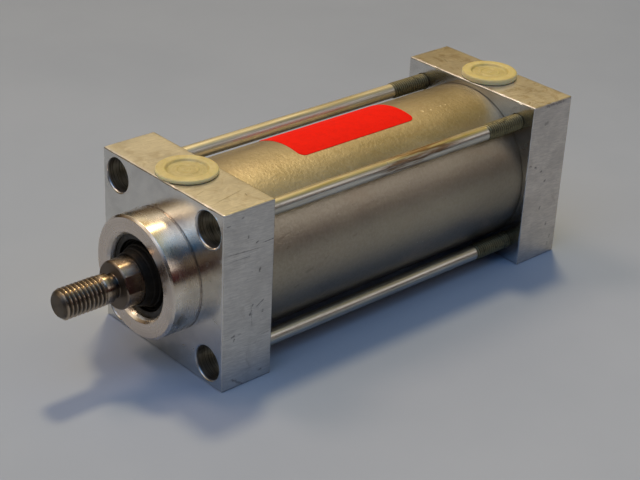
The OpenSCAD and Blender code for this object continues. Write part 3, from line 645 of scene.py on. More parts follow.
def boolean(base, cutter, op="DIFFERENCE"):
    m = base.modifiers.new("cut", "BOOLEAN")
    m.operation = op
    m.object = cutter
    m.solver = "EXACT"
    dg = bpy.context.evaluated_depsgraph_get()
    me = bpy.data.meshes.new_from_object(base.evaluated_get(dg))
    old = base.data
    base.modifiers.clear()
    base.data = me
    bpy.data.meshes.remove(old)
    gone = cutter.data
    bpy.data.objects.remove(cutter, do_unlink=True)
    bpy.data.meshes.remove(gone)
    return base


def rounded(pts, radii, closed=True, steps=4):
    """Rounds the corners of a profile; radii is one number or one per point."""
    n = len(pts)
    if not isinstance(radii, (list, tuple)):
        radii = [radii] * n
    out = []
    for i, p in enumerate(pts):
        if (not closed and i in (0, n - 1)) or radii[i] <= 0:
            out.append(tuple(p))
            continue
        a, b, c = Vector(pts[i - 1]), Vector(p), Vector(pts[(i + 1) % n])
        u, v = (a - b), (c - b)
        lu, lv = u.length, v.length
        u, v = u / lu, v / lv
        ang = math.acos(max(-1, min(1, u.dot(v))))
        if ang > math.radians(176):
            out.append(tuple(p))
            continue
        r = radii[i]
        t = min(r / math.tan(ang / 2), lu * 0.46, lv * 0.46)
        r = t * math.tan(ang / 2)
        mid = (u + v).normalized() * (r / math.sin(ang / 2))
        centre = b + mid
        s0, s1 = b + u * t - centre, b + v * t - centre
        a0 = math.atan2(s0.y, s0.x)
        d = math.atan2(s1.y, s1.x) - a0
        d = (d + math.pi) % TAU - math.pi
        for k in range(steps + 1):
            w = a0 + d * k / steps
            out.append((centre.x + r * math.cos(w), centre.y + r * math.sin(w)))
    return out


def turn(profile, seg=96, closed=True, axis="Y", at=(0.0, 0.0), span=None, wave=None):
    """Turns [radius, height] points about an axis. Points at radius 0 become poles."""
    verts, faces, rows = [], [], []
    arc = span is not None
    a0, a1 = span if arc else (0.0, TAU)
    count = seg + 1 if arc else seg
    for r, h in profile:
        if r < 1e-9:
            rows.append([len(verts)])
            verts.append((at[0], h, at[1]) if axis == "Y" else (at[0], at[1], h))
            continue
        row = []
        for k in range(count):
            t = a0 + (a1 - a0) * k / seg
            rr = r + (wave(t, r, h) if wave else 0.0)
            c, s = rr * math.cos(t), rr * math.sin(t)
            row.append(len(verts))
            verts.append((at[0] + c, h, at[1] + s) if axis == "Y" else (at[0] + c, at[1] + s, h))
        rows.append(row)
    m = len(rows)
    for i in range(m if closed else m - 1):
        p, q = rows[i], rows[(i + 1) % m]
        for k in range(seg):
            k2 = k + 1 if arc else (k + 1) % seg
            if len(p) == 1 and len(q) == 1:
                continue
            if len(p) == 1:
                faces.append((p[0], q[k2], q[k]))
            elif len(q) == 1:
                faces.append((p[k], p[k2], q[0]))
            else:
                faces.append((p[k], p[k2], q[k2], q[k]))
    if arc:
        faces.append([row[0] for row in rows])
        faces.append([row[-1] for row in reversed(rows)])
    return verts, faces


def merge(*parts):
    verts, faces = [], []
    for v, f in parts:
        o = len(verts)
        verts += list(v)
        faces += [[i + o for i in face] for face in f]
    return verts, faces


def field(rows, angles, radius, at=(0.0, 0.0), axis="Y", cap=(True, True)):
    """A stack of rings where radius(i, y, angle) gives each point; rows are heights."""
    verts, faces = [], []
    n = len(angles)
    for i, h in enumerate(rows):
        for t in angles:
            r = radius(i, h, t)
            c, s = r * math.cos(t), r * math.sin(t)
            verts.append((at[0] + c, h, at[1] + s) if axis == "Y" else (at[0] + c, at[1] + s, h))
    for i in range(len(rows) - 1):
        for k in range(n):
            a, b = i * n + k, i * n + (k + 1) % n
            faces.append((a, b, b + n, a + n))
    for end, i in ((0, 0), (1, len(rows) - 1)):
        if cap[end]:
            c = len(verts)
            verts.append((at[0], rows[i], at[1]) if axis == "Y" else (at[0], at[1], rows[i]))
            for k in range(n):
                faces.append((c, i * n + k, i * n + (k + 1) % n))
    return verts, faces


def thread_shape(phase, crest=0.14, root=0.20, soft=0.05):
    """0 on the crest, 1 at the root, for a phase in 0..1 with the crest centred on 0."""
    d = abs((phase + 0.5) % 1.0 - 0.5)
    a, b = crest / 2, 0.5 - root / 2
    t = (d - a) / (b - a)
    t = max(0.0, min(1.0, t))
    if t < soft * 2:
        t = t * t / (4 * soft)
    elif t > 1 - 2 * soft:
        t = 1 - soft - (1 - t) ** 2 / (4 * soft) + 0.0
    else:
        t = t - soft
    return t / (1 - soft) if t > 0 else 0.0


# ---------------------------------------------------------------- the square heads
def worn_block(y0, y1, b, seed, step=1.25):
    """A box with rounded, slightly knocked edges, as one closed grid."""
    lo, hi = (-HALF, y0, -HALF), (HALF, y1, HALF)
    tans = [math.tan(math.radians(a)) for a in (45, 33.75, 22.5, 11.25)]

    def lines(a, c):
        edge = [a + b - b * t for t in tans]
        n = max(2, int(round((c - a - 2 * b) / step)))
        mid = [a + b + (c - a - 2 * b) * i / n for i in range(n + 1)]
        return edge + mid + [c - (q - a) for q in reversed(edge)]

    g = [lines(lo[i], hi[i]) for i in range(3)]
    index, verts, faces = {}, [], []

    def place(p):
        c = [min(max(p[i], lo[i] + b), hi[i] - b) for i in range(3)]
        d = [p[i] - c[i] for i in range(3)]
        k = sum(1 for q in d if abs(q) > 1e-9)
        length = math.sqrt(sum(q * q for q in d))
        rad = b
        if k >= 2:
            q = Vector(p) * 0.55 + Vector((seed, seed * 1.7, -seed))
            dent = max(0.0, noise.noise(q) - 0.28) * 0.55 + max(0.0, noise.noise(q * 3.1) - 0.30) * 0.30
            rad = b - min(dent, 0.55 * b) - 0.02 * (noise.noise(q * 1.9) + 1)
        return tuple(c[i] + d[i] / length * rad for i in range(3))

    def vert(i, j, k):
        key = (i, j, k)
        if key not in index:
            index[key] = len(verts)
            verts.append(place((g[0][i], g[1][j], g[2][k])))
        return index[key]

    nx, ny, nz = (len(q) - 1 for q in g)
    for i in range(nx):
        for j in range(ny):
            for k in (0, nz):
                faces.append((vert(i, j, k), vert(i + 1, j, k), vert(i + 1, j + 1, k), vert(i, j + 1, k)))
    for i in range(nx):
        for k in range(nz):
            for j in (0, ny):
                faces.append((vert(i, j, k), vert(i + 1, j, k), vert(i + 1, j, k + 1), vert(i, j, k + 1)))
    for j in range(ny):
        for k in range(nz):
            for i in (0, nx):
                faces.append((vert(i, j, k), vert(i, j + 1, k), vert(i, j + 1, k + 1), vert(i, j, k + 1)))
    return verts, faces


def head(name, node, mat, rear, seed):
    T = HEAD_T
    flip = (lambda y: BODY - y) if rear else (lambda y: y)

    def put(vf):
        v, f = vf
        return [(x, flip(y), z) for x, y, z in v], f

    base = scratch_object(name, *put(worn_block(0.0, T, 0.60, seed)))
    spigot = [(0, T - 4), (24.95, T - 4), (24.95, T + 3.6), (24.75, T + 3.9), (24.5, T + 4), (0, T + 4)]
    boolean(base, scratch_object("s", *put(turn(spigot, 144, closed=False))), "UNION")
    cuts = []
    r = 5.75
    bore = [(0, -1), (r + 0.62, -1), (r + 0.62, -0.02), (r + 0.44, 0.06), (r + 0.27, 0.17), (r + 0.13, 0.32), (r + 0.04, 0.52), (r, 0.78),
            (r, 15.7), (r - 0.3, 16), (3.2, 16), (3.2, T + 1), (0, T + 1)]
    for sx in (-1, 1):
        for sz in (-1, 1):
            cuts.append(turn(bore, 72, closed=False, at=(sx * TIE, sz * TIE)))
    seat = [(24.95, 17), (TUBE_R + 0.05, 17), (TUBE_R + 0.05, T - 0.14), (TUBE_R + 0.09, T - 0.05), (TUBE_R + 0.17, T), (TUBE_R + 0.17, T + 1),
            (25.4, T + 1), (25.4, T + 3.3), (23.1, T + 3.3), (23.1, T + 0.7), (24.95, T + 0.7)]
    cuts.append(turn(seat, 144))
    if rear:
        cuts.append(turn([(0, T + 2), (16.5, T + 2), (16.5, T + 5), (0, T + 5)], 96, closed=False))
    else:
        cuts.append(turn([(0, -1), (COLLAR_R + 0.4, -1), (COLLAR_R + 0.4, 0.25), (16.02, 0.25), (16.02, 17), (9, 17), (9, T + 2),
                          (16.5, T + 2), (16.5, T + 5), (0, T + 5)], 144, closed=False))
    boolean(base, scratch_object("c", *put(merge(*cuts))))
    # port with its female pipe thread, then the air passage to the tube
    top, floor = HALF, HALF - 10.5
    rows = [floor + (top - 0.55 - floor) * i / 150 for i in range(151)]
    n = 72
    angles = [TAU * k / n for k in range(n)]
    pitch, depth = 1.337, 0.80

    def rad(i, h, t):
        if i >= len(rows) - 1:
            return 0
        run = min(1.0, max(0.0, (h - floor - 1.5) / 2.0))
        cut = 1.0 - thread_shape(((h / pitch) - t / TAU) % 1.0, 0.16, 0.30)
        return PORT_R + depth * run * cut
    lips = [(PORT_R + 0.75, top - 0.5), (PORT_R + 0.90, top - 0.25), (PORT_R + 1.10, top - 0.05), (PORT_R + 1.3, top + 0.02), (PORT_R + 1.3, top + 1)]
    rr = rows[:-1]
    v, f = field(rr, angles, rad, at=(0.0, PORT_Y), axis="Z", cap=(True, False))
    last = [len(v) - 1 - n + k for k in range(n)]
    last = [(len(rr) - 1) * n + k for k in range(n)]
    for lr, lh in lips:
        nxt = []
        for t in angles:
            nxt.append(len(v))
            v.append((lr * math.cos(t), PORT_Y + lr * math.sin(t), lh))
        for k in range(n):
            f.append((last[k], last[(k + 1) % n], nxt[(k + 1) % n], nxt[k]))
        last = nxt
    c = len(v)
    v.append((0.0, PORT_Y, top + 1))
    for k in range(n):
        f.append((c, last[k], last[(k + 1) % n]))
    boolean(base, scratch_object("p", *put((v, f))))
    boolean(base, scratch_object("q", *put(turn([(0, PORT_Y), (2.4, PORT_Y), (2.4, T + 5), (0, T + 5)], 48, closed=False, at=(0.0, 19.8)))))
    return finish_piece(base, mat, "housing", node, 30.0, True)


head("front_head_block", "front_head", head_metal("milled_front"), False, 3.0)
head("rear_head_block", "rear_head", head_metal("milled_rear", True), True, 11.0)


# ---------------------------------------------------------------- collar / gland
cr = COLLAR_R
gland = [
    (15.15, COLLAR_Y), (cr - 0.75, COLLAR_Y), (cr, COLLAR_Y + 0.75),
    (cr, -0.46), (cr - 0.30, -0.14), (cr - 0.30, 0.06), (cr, 0.18), (16.0, 0.18),
    (16.0, 1.2), (14.2, 1.2), (14.2, 3.6), (16.0, 3.6),
    (16.0, 16.4), (15.4, 17.0), (10.0, 17.0), (10.0, 3.0), (11.5, 3.0), (11.5, -2.0),
    (13.86, -2.0), (13.86, -6.4), (14.86, -6.4), (14.86, -8.0), (13.86, -8.0), (13.86, -8.6), (14.3, -9.6),
]
radii = [0.35, 0.30, 0.30, 0.10, 0.05, 0.03, 0.02, 0.05] + [0.1] * 15 + [0.1, 0.6]
v, f = turn(rounded(gland, radii), 192)
piece("gland_collar", v, f, turned_metal("turned_collar"), node="rod_gland", sharp=40)

# ---------------------------------------------------------------- retaining ring, an open spring ring
g0 = math.radians(34) + math.asin(1.6 / 13.3)
v, f = turn(rounded([(11.9, -7.95), (14.81, -7.95), (14.81, -6.45), (11.9, -6.45)], 0.22, steps=3), 150, span=(g0, g0 + TAU - 2 * math.asin(1.6 / 13.3)))
piece("spring_ring", v, f, black_steel("black_spring_steel"), node="wiper_retaining_ring")

# ---------------------------------------------------------------- wiper with its ring lines
ri = ROD_R + 0.03
wiper = [(ri, -2.05), (13.82, -2.05), (13.82, -6.4), (11.75, -6.4), (11.55, -6.95), (11.35, -7.0), (11.15, -6.6), (10.95, -5.6), (10.65, -5.5),
         (10.45, -6.6), (10.35, -7.7), (10.15, -7.95), (9.95, -8.0), (9.85, -8.35), (9.6, -9.35), (9.3, -9.75), (9.25, -10.1),
         (8.85, -11.4), (8.62, -11.85), (8.40, -12.0), (8.15, -11.95), (ri, -11.6)]
v, f = turn(rounded(wiper, [0.1, 0.2, 0.2, 0.1] + [0.12] * 17 + [0.05], steps=3), 144)
piece("wiper_ring", v, f, rubber("wiper_rubber"), node="rod_wiper", sharp=50)


# ---------------------------------------------------------------- piston rod: ground shank, flats, relief, neck and M10 x 1.5 thread
def rod_mesh():
    so = -18.4
    flat, turn0 = 7.5, math.radians(21)
    alpha = math.acos(flat / ROD_R)
    base = [TAU * k / 144 for k in range(144)]
    edges = []
    for q in (turn0, turn0 + math.pi):
        for e in (q - alpha, q + alpha):
            edges += [e - 0.012, e, e + 0.012]
    angles = sorted(set([a % TAU for a in edges] + [a for a in base if all(abs((a - e + math.pi) % TAU - math.pi) > 0.02 for e in edges)]))
    rows = []                                        # (y, radius, kind)
    tip, pitch, depth = TIP, 1.5, 0.90
    for r, y in rounded([(0.0, tip), (3.66, tip), (4.07, tip + 0.4)], [0, 0.35, 0], closed=False, steps=4)[1:-1]:
        rows.append((y, r, "p"))
    n = int((so - 4.55 - (tip + 0.4)) / 0.075)
    for i in range(n + 1):
        rows.append((tip + 0.4 + (so - 4.55 - (tip + 0.4)) * i / n, 0, "t"))
    neck = rounded([(4.85, so - 4.5), (4.85, so - 2.35), (4.0, so - 2.15), (4.0, so), (ROD_R - 0.55, so), (ROD_R, so + 0.55), (ROD_R, so + 1.4)],
                   [0, 0.12, 0.12, 0.35, 0.06, 0.12, 0], closed=False, steps=4)
    rows += [(y, r, "f") for r, y in neck]
    for y in (-16.2, -15.0, -14.0, -13.0, -12.6, -12.32, -12.22, -12.2):
        rows.append((y, ROD_R, "f"))
    rows.append((-12.2, ROD_R, "p"))
    rows.append((-12.1, ROD_R, "p"))
    end_y = rod_hi[1]
    for i in range(1, 60):
        rows.append((-12.1 + (105.0 + 12.1) * i / 60, ROD_R, "p"))
    rows += [(y, r, "p") for r, y in rounded([(ROD_R, 105.0), (ROD_R, 105.24), (6.0, 105.24), (6.0, end_y - 1), (5.0, end_y)], [0, 0.08, 0.1, 0.1, 0], closed=False, steps=3)[1:]]

    def rad(i, y, t):
        y, r, kind = rows[i]
        if kind == "t":
            ph = (y / pitch + t / TAU) % 1.0
            r = THREAD_R - depth * thread_shape(ph, 0.13, 0.22)
            lead = 3.66 + (y - tip) * 1.03               # chamfered start
            r = min(r, max(lead, 3.66))
            k = (y - (so - 5.9)) / 1.2                   # run-out into the plain neck
            if k > 0:
                k = min(1.0, k)
                r = r * (1 - k) + 4.85 * k if r < 4.85 else r + (4.85 - r) * k
            return r + 0.012 * noise.noise(Vector((math.cos(t) * 3, y, math.sin(t) * 3)))
        if kind == "f":
            lim = min(flat / max(1e-6, abs(math.cos(t - turn0))), 99)
            return min(r, lim)
        return r

    ys = [q[0] for q in rows]
    return field(ys, angles, rad)


v, f = rod_mesh()
piece("rod_shaft", v, f, rod_steel("ground_steel"), body="rod_and_piston", node="piston_rod", sharp=38)


# ---------------------------------------------------------------- barrel tube with a lightly uneven skin
def tube_mesh():
    n, m = 320, 230
    y0, y1 = tube_lo[1], tube_hi[1]
    verts, faces = [], []
    a, b = HEAD_T - 0.6, BODY - HEAD_T + 0.6
    outer = [y0 + 0.02, y0 + 0.15, y0 + 0.5] + [a + (b - a) * i / m for i in range(m + 1)] + [y1 - 0.5, y1 - 0.15, y1 - 0.02]
    rad = [TUBE_R - 0.48, TUBE_R - 0.25, TUBE_R - 0.01] + [None] * (m + 1) + [TUBE_R - 0.01, TUBE_R - 0.25, TUBE_R - 0.48]
    rows = []
    for y, r in zip(outer, rad):
        row = []
        for k in range(n):
            t = TAU * k / n
            c, s = math.cos(t), math.sin(t)
            rr = r
            if rr is None:
                p = Vector((c * TUBE_R, y, s * TUBE_R))
                rr = TUBE_R - 0.03 + 0.022 * noise.noise(p * 0.62) + 0.012 * noise.noise(p * 0.21)
            row.append(len(verts))
            verts.append((rr * c, y, rr * s))
        rows.append(row)
    ri = 25.0
    for r, y in ((ri + 0.5, y1), (ri, y1 - 0.5), (ri, y1 - 3.4), (ri, (y0 + y1) / 2), (ri, y0 + 3.4), (ri, y0 + 0.5), (ri + 0.5, y0)):
        row = []
        for k in range(n):
            t = TAU * k / n
            row.append(len(verts))
            verts.append((r * math.cos(t), y, r * math.sin(t)))
        rows.append(row)
    for i in range(len(rows)):
        p, q = rows[i], rows[(i + 1) % len(rows)]
        for k in range(n):
            faces.append((p[k], p[(k + 1) % n], q[(k + 1) % n], q[k]))
    return verts, faces


v, f = tube_mesh()
piece("barrel", v, f, tube_metal("satin_tube"), node="barrel_tube", sharp=30)


# ---------------------------------------------------------------- tie rods with rolled M6 thread at their ends
def tie_mesh(cx, cz, seed):
    a, b = tie_lo[1], tie_hi[1]
    s_r, maj, depth, pitch = 2.675, 2.98, 0.56, 1.0
    fr, rr = HEAD_T - 1.0, BODY - HEAD_T - 17.2
    ys = [a, a + 0.15]
    k = int((fr - a - 0.6) * 9)
    ys += [a + 0.4 + (fr - a - 0.6) * i / k for i in range(k + 1)]
    ys += [fr, fr + 0.3]
    ys += [fr + 0.3 + (rr - 0.6 - fr) * i / 24 for i in range(1, 24)]
    k = int((b - rr - 0.4) * 13)
    ys += [rr - 0.3 + (b - rr - 0.1) * i / k for i in range(k + 1)]
    ys += [b - 0.15, b]
    n = 40
    angles = [TAU * i / n for i in range(n)]

    def rad(i, y, t):
        if y < fr + 0.2 or y > rr - 0.25:
            ph = (y / pitch + t / TAU + seed) % 1.0
            r = maj - depth * thread_shape(ph, 0.16, 0.26)
            w = min(1.0, max(0.0, (fr - 0.1 - y) / 1.2)) if y < HEAD_T else min(1.0, max(0.0, (y - rr) / 1.3))
            r = s_r + (r - s_r) * w
            end = min(y - a, b - y)
            return min(r, 2.3 + max(0.0, end) * 0.9)
        return s_r + 0.006 * noise.noise(Vector((math.cos(t) * 2, y * 0.06, math.sin(t) * 2 + seed)))

    return field(ys, angles, rad, at=(cx, cz))


parts = [tie_mesh(sx * TIE, sz * TIE, q) for q, (sx, sz) in enumerate([(-0.999999, -1), (1, -1), (-1, 1), (1, 1)])]
v, f = merge(*parts)
piece("tie_rod_set", v, f, tie_steel("drawn_steel"), node="tie_rods", sharp=40)


# ---------------------------------------------------------------- round tie-rod nuts with spanner slots and real female threads
def nut_mesh(cx, cz, flip):
    y0, y1 = nut_lo[1], nut_hi[1]
    mid = (y0 + y1) / 2
    ro, rb = 5.65, 2.5
    n = 48
    outer = rounded([(rb + 0.45, y0), (ro, y0), (ro, y1), (3.15, y1)], [0.0, 0.38, 0.35, 0.0], closed=False, steps=4)
    angles = [TAU * k / n for k in range(n)]
    verts, rows = [], []
    for r, y in outer:
        rows.append([(r, y)] * n)
    inner = [y1 - 0.15 - (y1 - 0.3 - y0) * i / 96 for i in range(97)]
    for y in inner:
        row = []
        for t in angles:
            ph = (y / 1.0 + t / TAU) % 1.0
            r = rb + 0.5 * (1.0 - thread_shape(ph, 0.3, 0.25)) if y < mid else 3.02
            if y < y0 + 0.5:
                r = max(r, rb + 0.45 - (y - y0) * 0.9)
            row.append((r, y))
        rows.append(row)
    faces = []
    for row in rows:
        for (r, y), t in zip(row, angles):
            verts.append((cx + r * math.cos(t), (BODY - y) if flip else y, cz + r * math.sin(t)))
    m = len(rows)
    for i in range(m):
        for k in range(n):
            p, q = i * n, ((i + 1) % m) * n
            faces.append((p + k, p + (k + 1) % n, q + (k + 1) % n, q + k))
    return verts, faces


def nut_set(name, node, flip, mat):
    made = merge(*[nut_mesh(sx * TIE, sz * TIE, flip) for sx in (-1, 1) for sz in (-1, 1)])
    ob = scratch_object(name, *made)
    boxes = []
    y0 = nut_lo[1]
    for sx in (-1, 1):
        for sz in (-1, 1):
            for q in range(4):
                a = math.radians(45 + 90 * q)
                e, w = Vector((math.cos(a), 0, math.sin(a))), Vector((-math.sin(a), 0, math.cos(a)))
                vs = []
                for u in (4.35, 7.0):
                    for wv in (-0.9, 0.9):
                        for y in (y0 - 1, y0 + 1.4):
                            p = e * u + w * wv
                            vs.append((sx * TIE + p.x, (BODY - y) if flip else y, sz * TIE + p.z))
                boxes.append((vs, [(0, 1, 3, 2), (4, 6, 7, 5), (0, 4, 5, 1), (2, 3, 7, 6), (0, 2, 6, 4), (1, 5, 7, 3)]))
    boolean(ob, scratch_object("k", *merge(*boxes)))
    return finish_piece(ob, mat, "housing", node, 32.0, False)


nut_mat = plated("zinc_plate")
nut_set("front_round_nuts", "front_tie_rod_nuts", False, nut_mat)
nut_set("rear_round_nuts", "rear_tie_rod_nuts", True, nut_mat)


# ---------------------------------------------------------------- port plugs
def plug(name, node, body):
    lo, hi = box_mm(node)
    y = (lo[1] + hi[1]) / 2
    z, t = HALF, hi[2]
    rib = PORT_R - 0.04
    s = rib - 0.35
    R = hi[0]
    prof = [
        (0.0, t - 0.50), (1.05, t - 0.50), (1.25, t - 0.62), (2.9, t - 0.62), (3.15, t - 0.48), (3.6, t - 0.48), (3.9, t - 0.66), (5.0, t - 0.78), (5.9, t - 0.86),
        (6.35, t - 0.78), (6.75, t - 0.28), (7.05, t - 0.05), (7.6, t), (R - 0.9, t), (R - 0.25, t - 0.10), (R, t - 0.45), (R, z + 0.30), (R - 0.25, z + 0.03),
        (s, z + 0.02), (s, z - 1.6), (rib, z - 1.9), (s, z - 3), (s, z - 4), (rib, z - 4.3), (s, z - 5.4), (s, z - 6.4), (rib, z - 6.7),
        (s, z - 7.8), (s, z - 8.2), (s - 0.8, z - 9), (s - 1.3, z - 9), (s - 1.3, z - 1.2), (0.0, z - 1.2),
    ]
    rad = [0, 0.08, 0.1, 0.1, 0.1, 0.1, 0.15, 0.3, 0.3, 0.3, 0.2, 0.2, 0.4, 0.4, 0.2, 0.2, 0.1, 0.08] + [0.08] * 15
    prof = rounded(prof, rad, closed=False, steps=3)

    def wave(a, r, h):
        return 0.012 * math.sin(3 * a + r) if h > z else 0.0

    v, f = turn(prof, 112, closed=False, axis="Z", at=(0.0, y), wave=wave)
    # the soft moulding is never quite flat: a slight tilt and sag of the cap
    out = []
    for px, py, pz in v:
        if pz > z + 0.05:
            pz -= 0.05 * (1 + noise.noise(Vector((px * 0.12, py * 0.12, y)))) * min(1.0, (pz - z) / 0.8)
        out.append((px, py, pz))
    return piece(name, out, f, plug_plastic(name + "_plastic", y), body=body, node=node, sharp=50)


plug("front_plug_cap", "front_port_plug", "front_plug")
plug("rear_plug_cap", "rear_port_plug", "rear_plug")


# ---------------------------------------------------------------- red label on the tube, corners rounded, edges sitting down
def label_mesh():
    half_w = math.radians(47 / 2) * TUBE_R
    mid = math.radians(74.3 + 47 / 2)
    y0, y1 = label_lo[1], label_hi[1]
    L = (y1 - y0) / 2
    yc = (y0 + y1) / 2
    k = 2.6
    nu, nv = 44, 84
    top, bot = TUBE_R + 0.125, TUBE_R - 0.035

    def pt(u, w, r):
        # (u, w) in a square is drawn into the rounded rectangle
        a, b = u * half_w, w * L
        ax, by = abs(a), abs(b)
        if ax > half_w - k and by > L - k:
            dx, dy = ax - (half_w - k), by - (L - k)
            m = max(dx, dy)
            q = math.hypot(dx, dy)
            if q > 1e-9:
                dx, dy = dx * m / q, dy * m / q
            a, b = math.copysign(half_w - k + dx, a), math.copysign(L - k + dy, b)
        t = mid + a / TUBE_R
        return (r * math.cos(t), yc + b, r * math.sin(t))

    def lines(n, half, kk):
        edge = [1 - kk / half * q for q in (0, 0.012, 0.05, 0.12, 0.25, 0.4, 0.55, 0.7, 0.85, 1.0)]
        inner = [(-1 + 2 * i / n) * (1 - kk / half) for i in range(1, n)]
        return [-q for q in edge] + inner + list(reversed(edge))

    us, ws = lines(nu, half_w, k), lines(nv, L, k)
    verts, faces = [], []
    for layer in (0, 1):
        for i, u in enumerate(us):
            for j, w in enumerate(ws):
                e = min(i, j, len(us) - 1 - i, len(ws) - 1 - j)
                if layer == 0:
                    drop = (0.05, 0.018, 0.004, 0.0)[min(e, 3)]
                    p = Vector(pt(u, w, 1.0))
                    r = top - drop + 0.010 * noise.noise(Vector((p.x * 9, p.y * 0.35, p.z * 9)))
                else:
                    r = bot
                verts.append(pt(u, w, r))
    nw = len(ws)
    tot = len(us) * nw
    for i in range(len(us) - 1):
        for j in range(nw - 1):
            a = i * nw + j
            faces.append((a, a + nw, a + nw + 1, a + 1))
            faces.append((tot + a, tot + a + 1, tot + a + nw + 1, tot + a + nw))
    rim = [i * nw for i in range(len(us))] + [(len(us) - 1) * nw + j for j in range(1, nw)] + [i * nw + nw - 1 for i in range(len(us) - 2, -1, -1)] + [j for j in range(nw - 2, 0, -1)]
    for a, b in zip(rim, rim[1:] + rim[:1]):
        faces.append((a, b, tot + b, tot + a))
    return verts, faces


v, f = label_mesh()
piece("label_film", v, f, red_film("red_film"), node="label", sharp=60)

# ---------------------------------------------------------------- finishes of the CAD nodes that stay as they are
INSIDE = {
    "rod_bush": bronze("sintered_bronze"),
    "piston": turned_metal("turned_piston", (0.66, 0.66, 0.67), (0.50, 0.50, 0.51), 0.26, 0.003, 0.0),
    "piston_guide_ring": guide_plastic("guide_plastic_fill"),
    "piston_washer": plated("plated_washer", (0.58, 0.57, 0.54), (0.40, 0.39, 0.36), 0.28),
    "piston_nut": plated("plated_nut", (0.60, 0.58, 0.52), (0.42, 0.40, 0.35), 0.30),
}
seal = rubber("seal_rubber", (0.020, 0.020, 0.021), 0.40)
bumper = rubber("bumper_rubber", (0.030, 0.030, 0.030), 0.55)
for n in ("rod_seal", "gland_o_ring", "front_tube_o_ring", "rear_tube_o_ring", "front_piston_seal", "rear_piston_seal", "piston_bore_o_ring"):
    INSIDE[n] = seal
for n in ("front_bumper", "rear_bumper"):
    INSIDE[n] = bumper
for n, m in INSIDE.items():
    ob = NODES[n]
    if ob.material_slots:
        for sl in ob.material_slots:
            sl.material = m
    else:
        ob.data.materials.append(m)

# ---------------------------------------------------------------- floor
FLOOR_Z = head_lo[2] * MM - 0.00002
bm = bmesh.new()
bmesh.ops.create_grid(bm, x_segments=8, y_segments=8, size=3.0)
me = bpy.data.meshes.new("floor")
bm.to_mesh(me)
bm.free()
floor = bpy.data.objects.new("floor", me)
floor.location = (0.0, 0.06, FLOOR_Z)
bpy.context.scene.collection.objects.link(floor)
fm = Mat("pale_floor")
soft = fm.noise(0.012, 4, 0.55)
# painted light falloff: the floor darkens away from the camera
painted_far_falloff = fm.span(fm.add(fm.mul(fm.x, -0.73), fm.mul(fm.y, 0.68)), -60, 330)
near_col = fm.mix(fm.span(soft, 0.3, 0.7), (0.372, 0.428, 0.505), (0.392, 0.448, 0.525))
far_col = fm.mix(fm.span(soft, 0.3, 0.7), (0.298, 0.340, 0.396), (0.313, 0.356, 0.413))
# painted light falloff: the floor darkens and cools toward the back right
right = fm.span(fm.add(fm.mul(fm.x, 0.68), fm.mul(fm.y, 0.73)), 70, 330)
painted_side_falloff = fm.mix(right, (1.04, 1.03, 1.05), (0.93, 0.95, 1.01))
fm.set(Base_Color=fm.mix(1.0, fm.mix(painted_far_falloff, near_col, far_col), painted_side_falloff, "MULTIPLY"), Roughness=0.75, Specular_IOR_Level=0.0)
me.materials.append(fm.m)

# ---------------------------------------------------------------- light
world = bpy.data.worlds.new("studio")
bpy.context.scene.world = world
world.use_nodes = True
nt = world.node_tree
nt.nodes.clear()


def wnode(kind, **kw):
    n = nt.nodes.new(kind)
    for k, q in kw.items():
        setattr(n, k, q)
    return n


wout, wbg, wtc = wnode("ShaderNodeOutputWorld"), wnode("ShaderNodeBackground"), wnode("ShaderNodeTexCoord")
nt.links.new(wbg.outputs[0], wout.inputs[0])
direction = wtc.outputs["Generated"]


def glow(prev, d, inner, outer, colour):
    """Adds a soft round patch of light of the given colour, centred on direction d."""
    d = Vector(d).normalized()
    dot = wnode("ShaderNodeVectorMath", operation="DOT_PRODUCT")
    nt.links.new(direction, dot.inputs[0])
    dot.inputs[1].default_value = d
    m = wnode("ShaderNodeMapRange", interpolation_type="SMOOTHSTEP")
    nt.links.new(dot.outputs["Value"], m.inputs[0])
    m.inputs[1].default_value = math.cos(math.radians(outer))
    m.inputs[2].default_value = math.cos(math.radians(inner))
    m.inputs[3].default_value = 0.0
    m.inputs[4].default_value = 1.0
    mix = wnode("ShaderNodeMix", data_type="RGBA", blend_type="ADD", clamp_factor=False)
    nt.links.new(m.outputs[0], mix.inputs[0])
    if isinstance(prev, bpy.types.NodeSocket):
        nt.links.new(prev, mix.inputs[6])
    else:
        mix.inputs[6].default_value = (*prev, 1)
    mix.inputs[7].default_value = (*colour, 1)
    return mix.outputs[2]


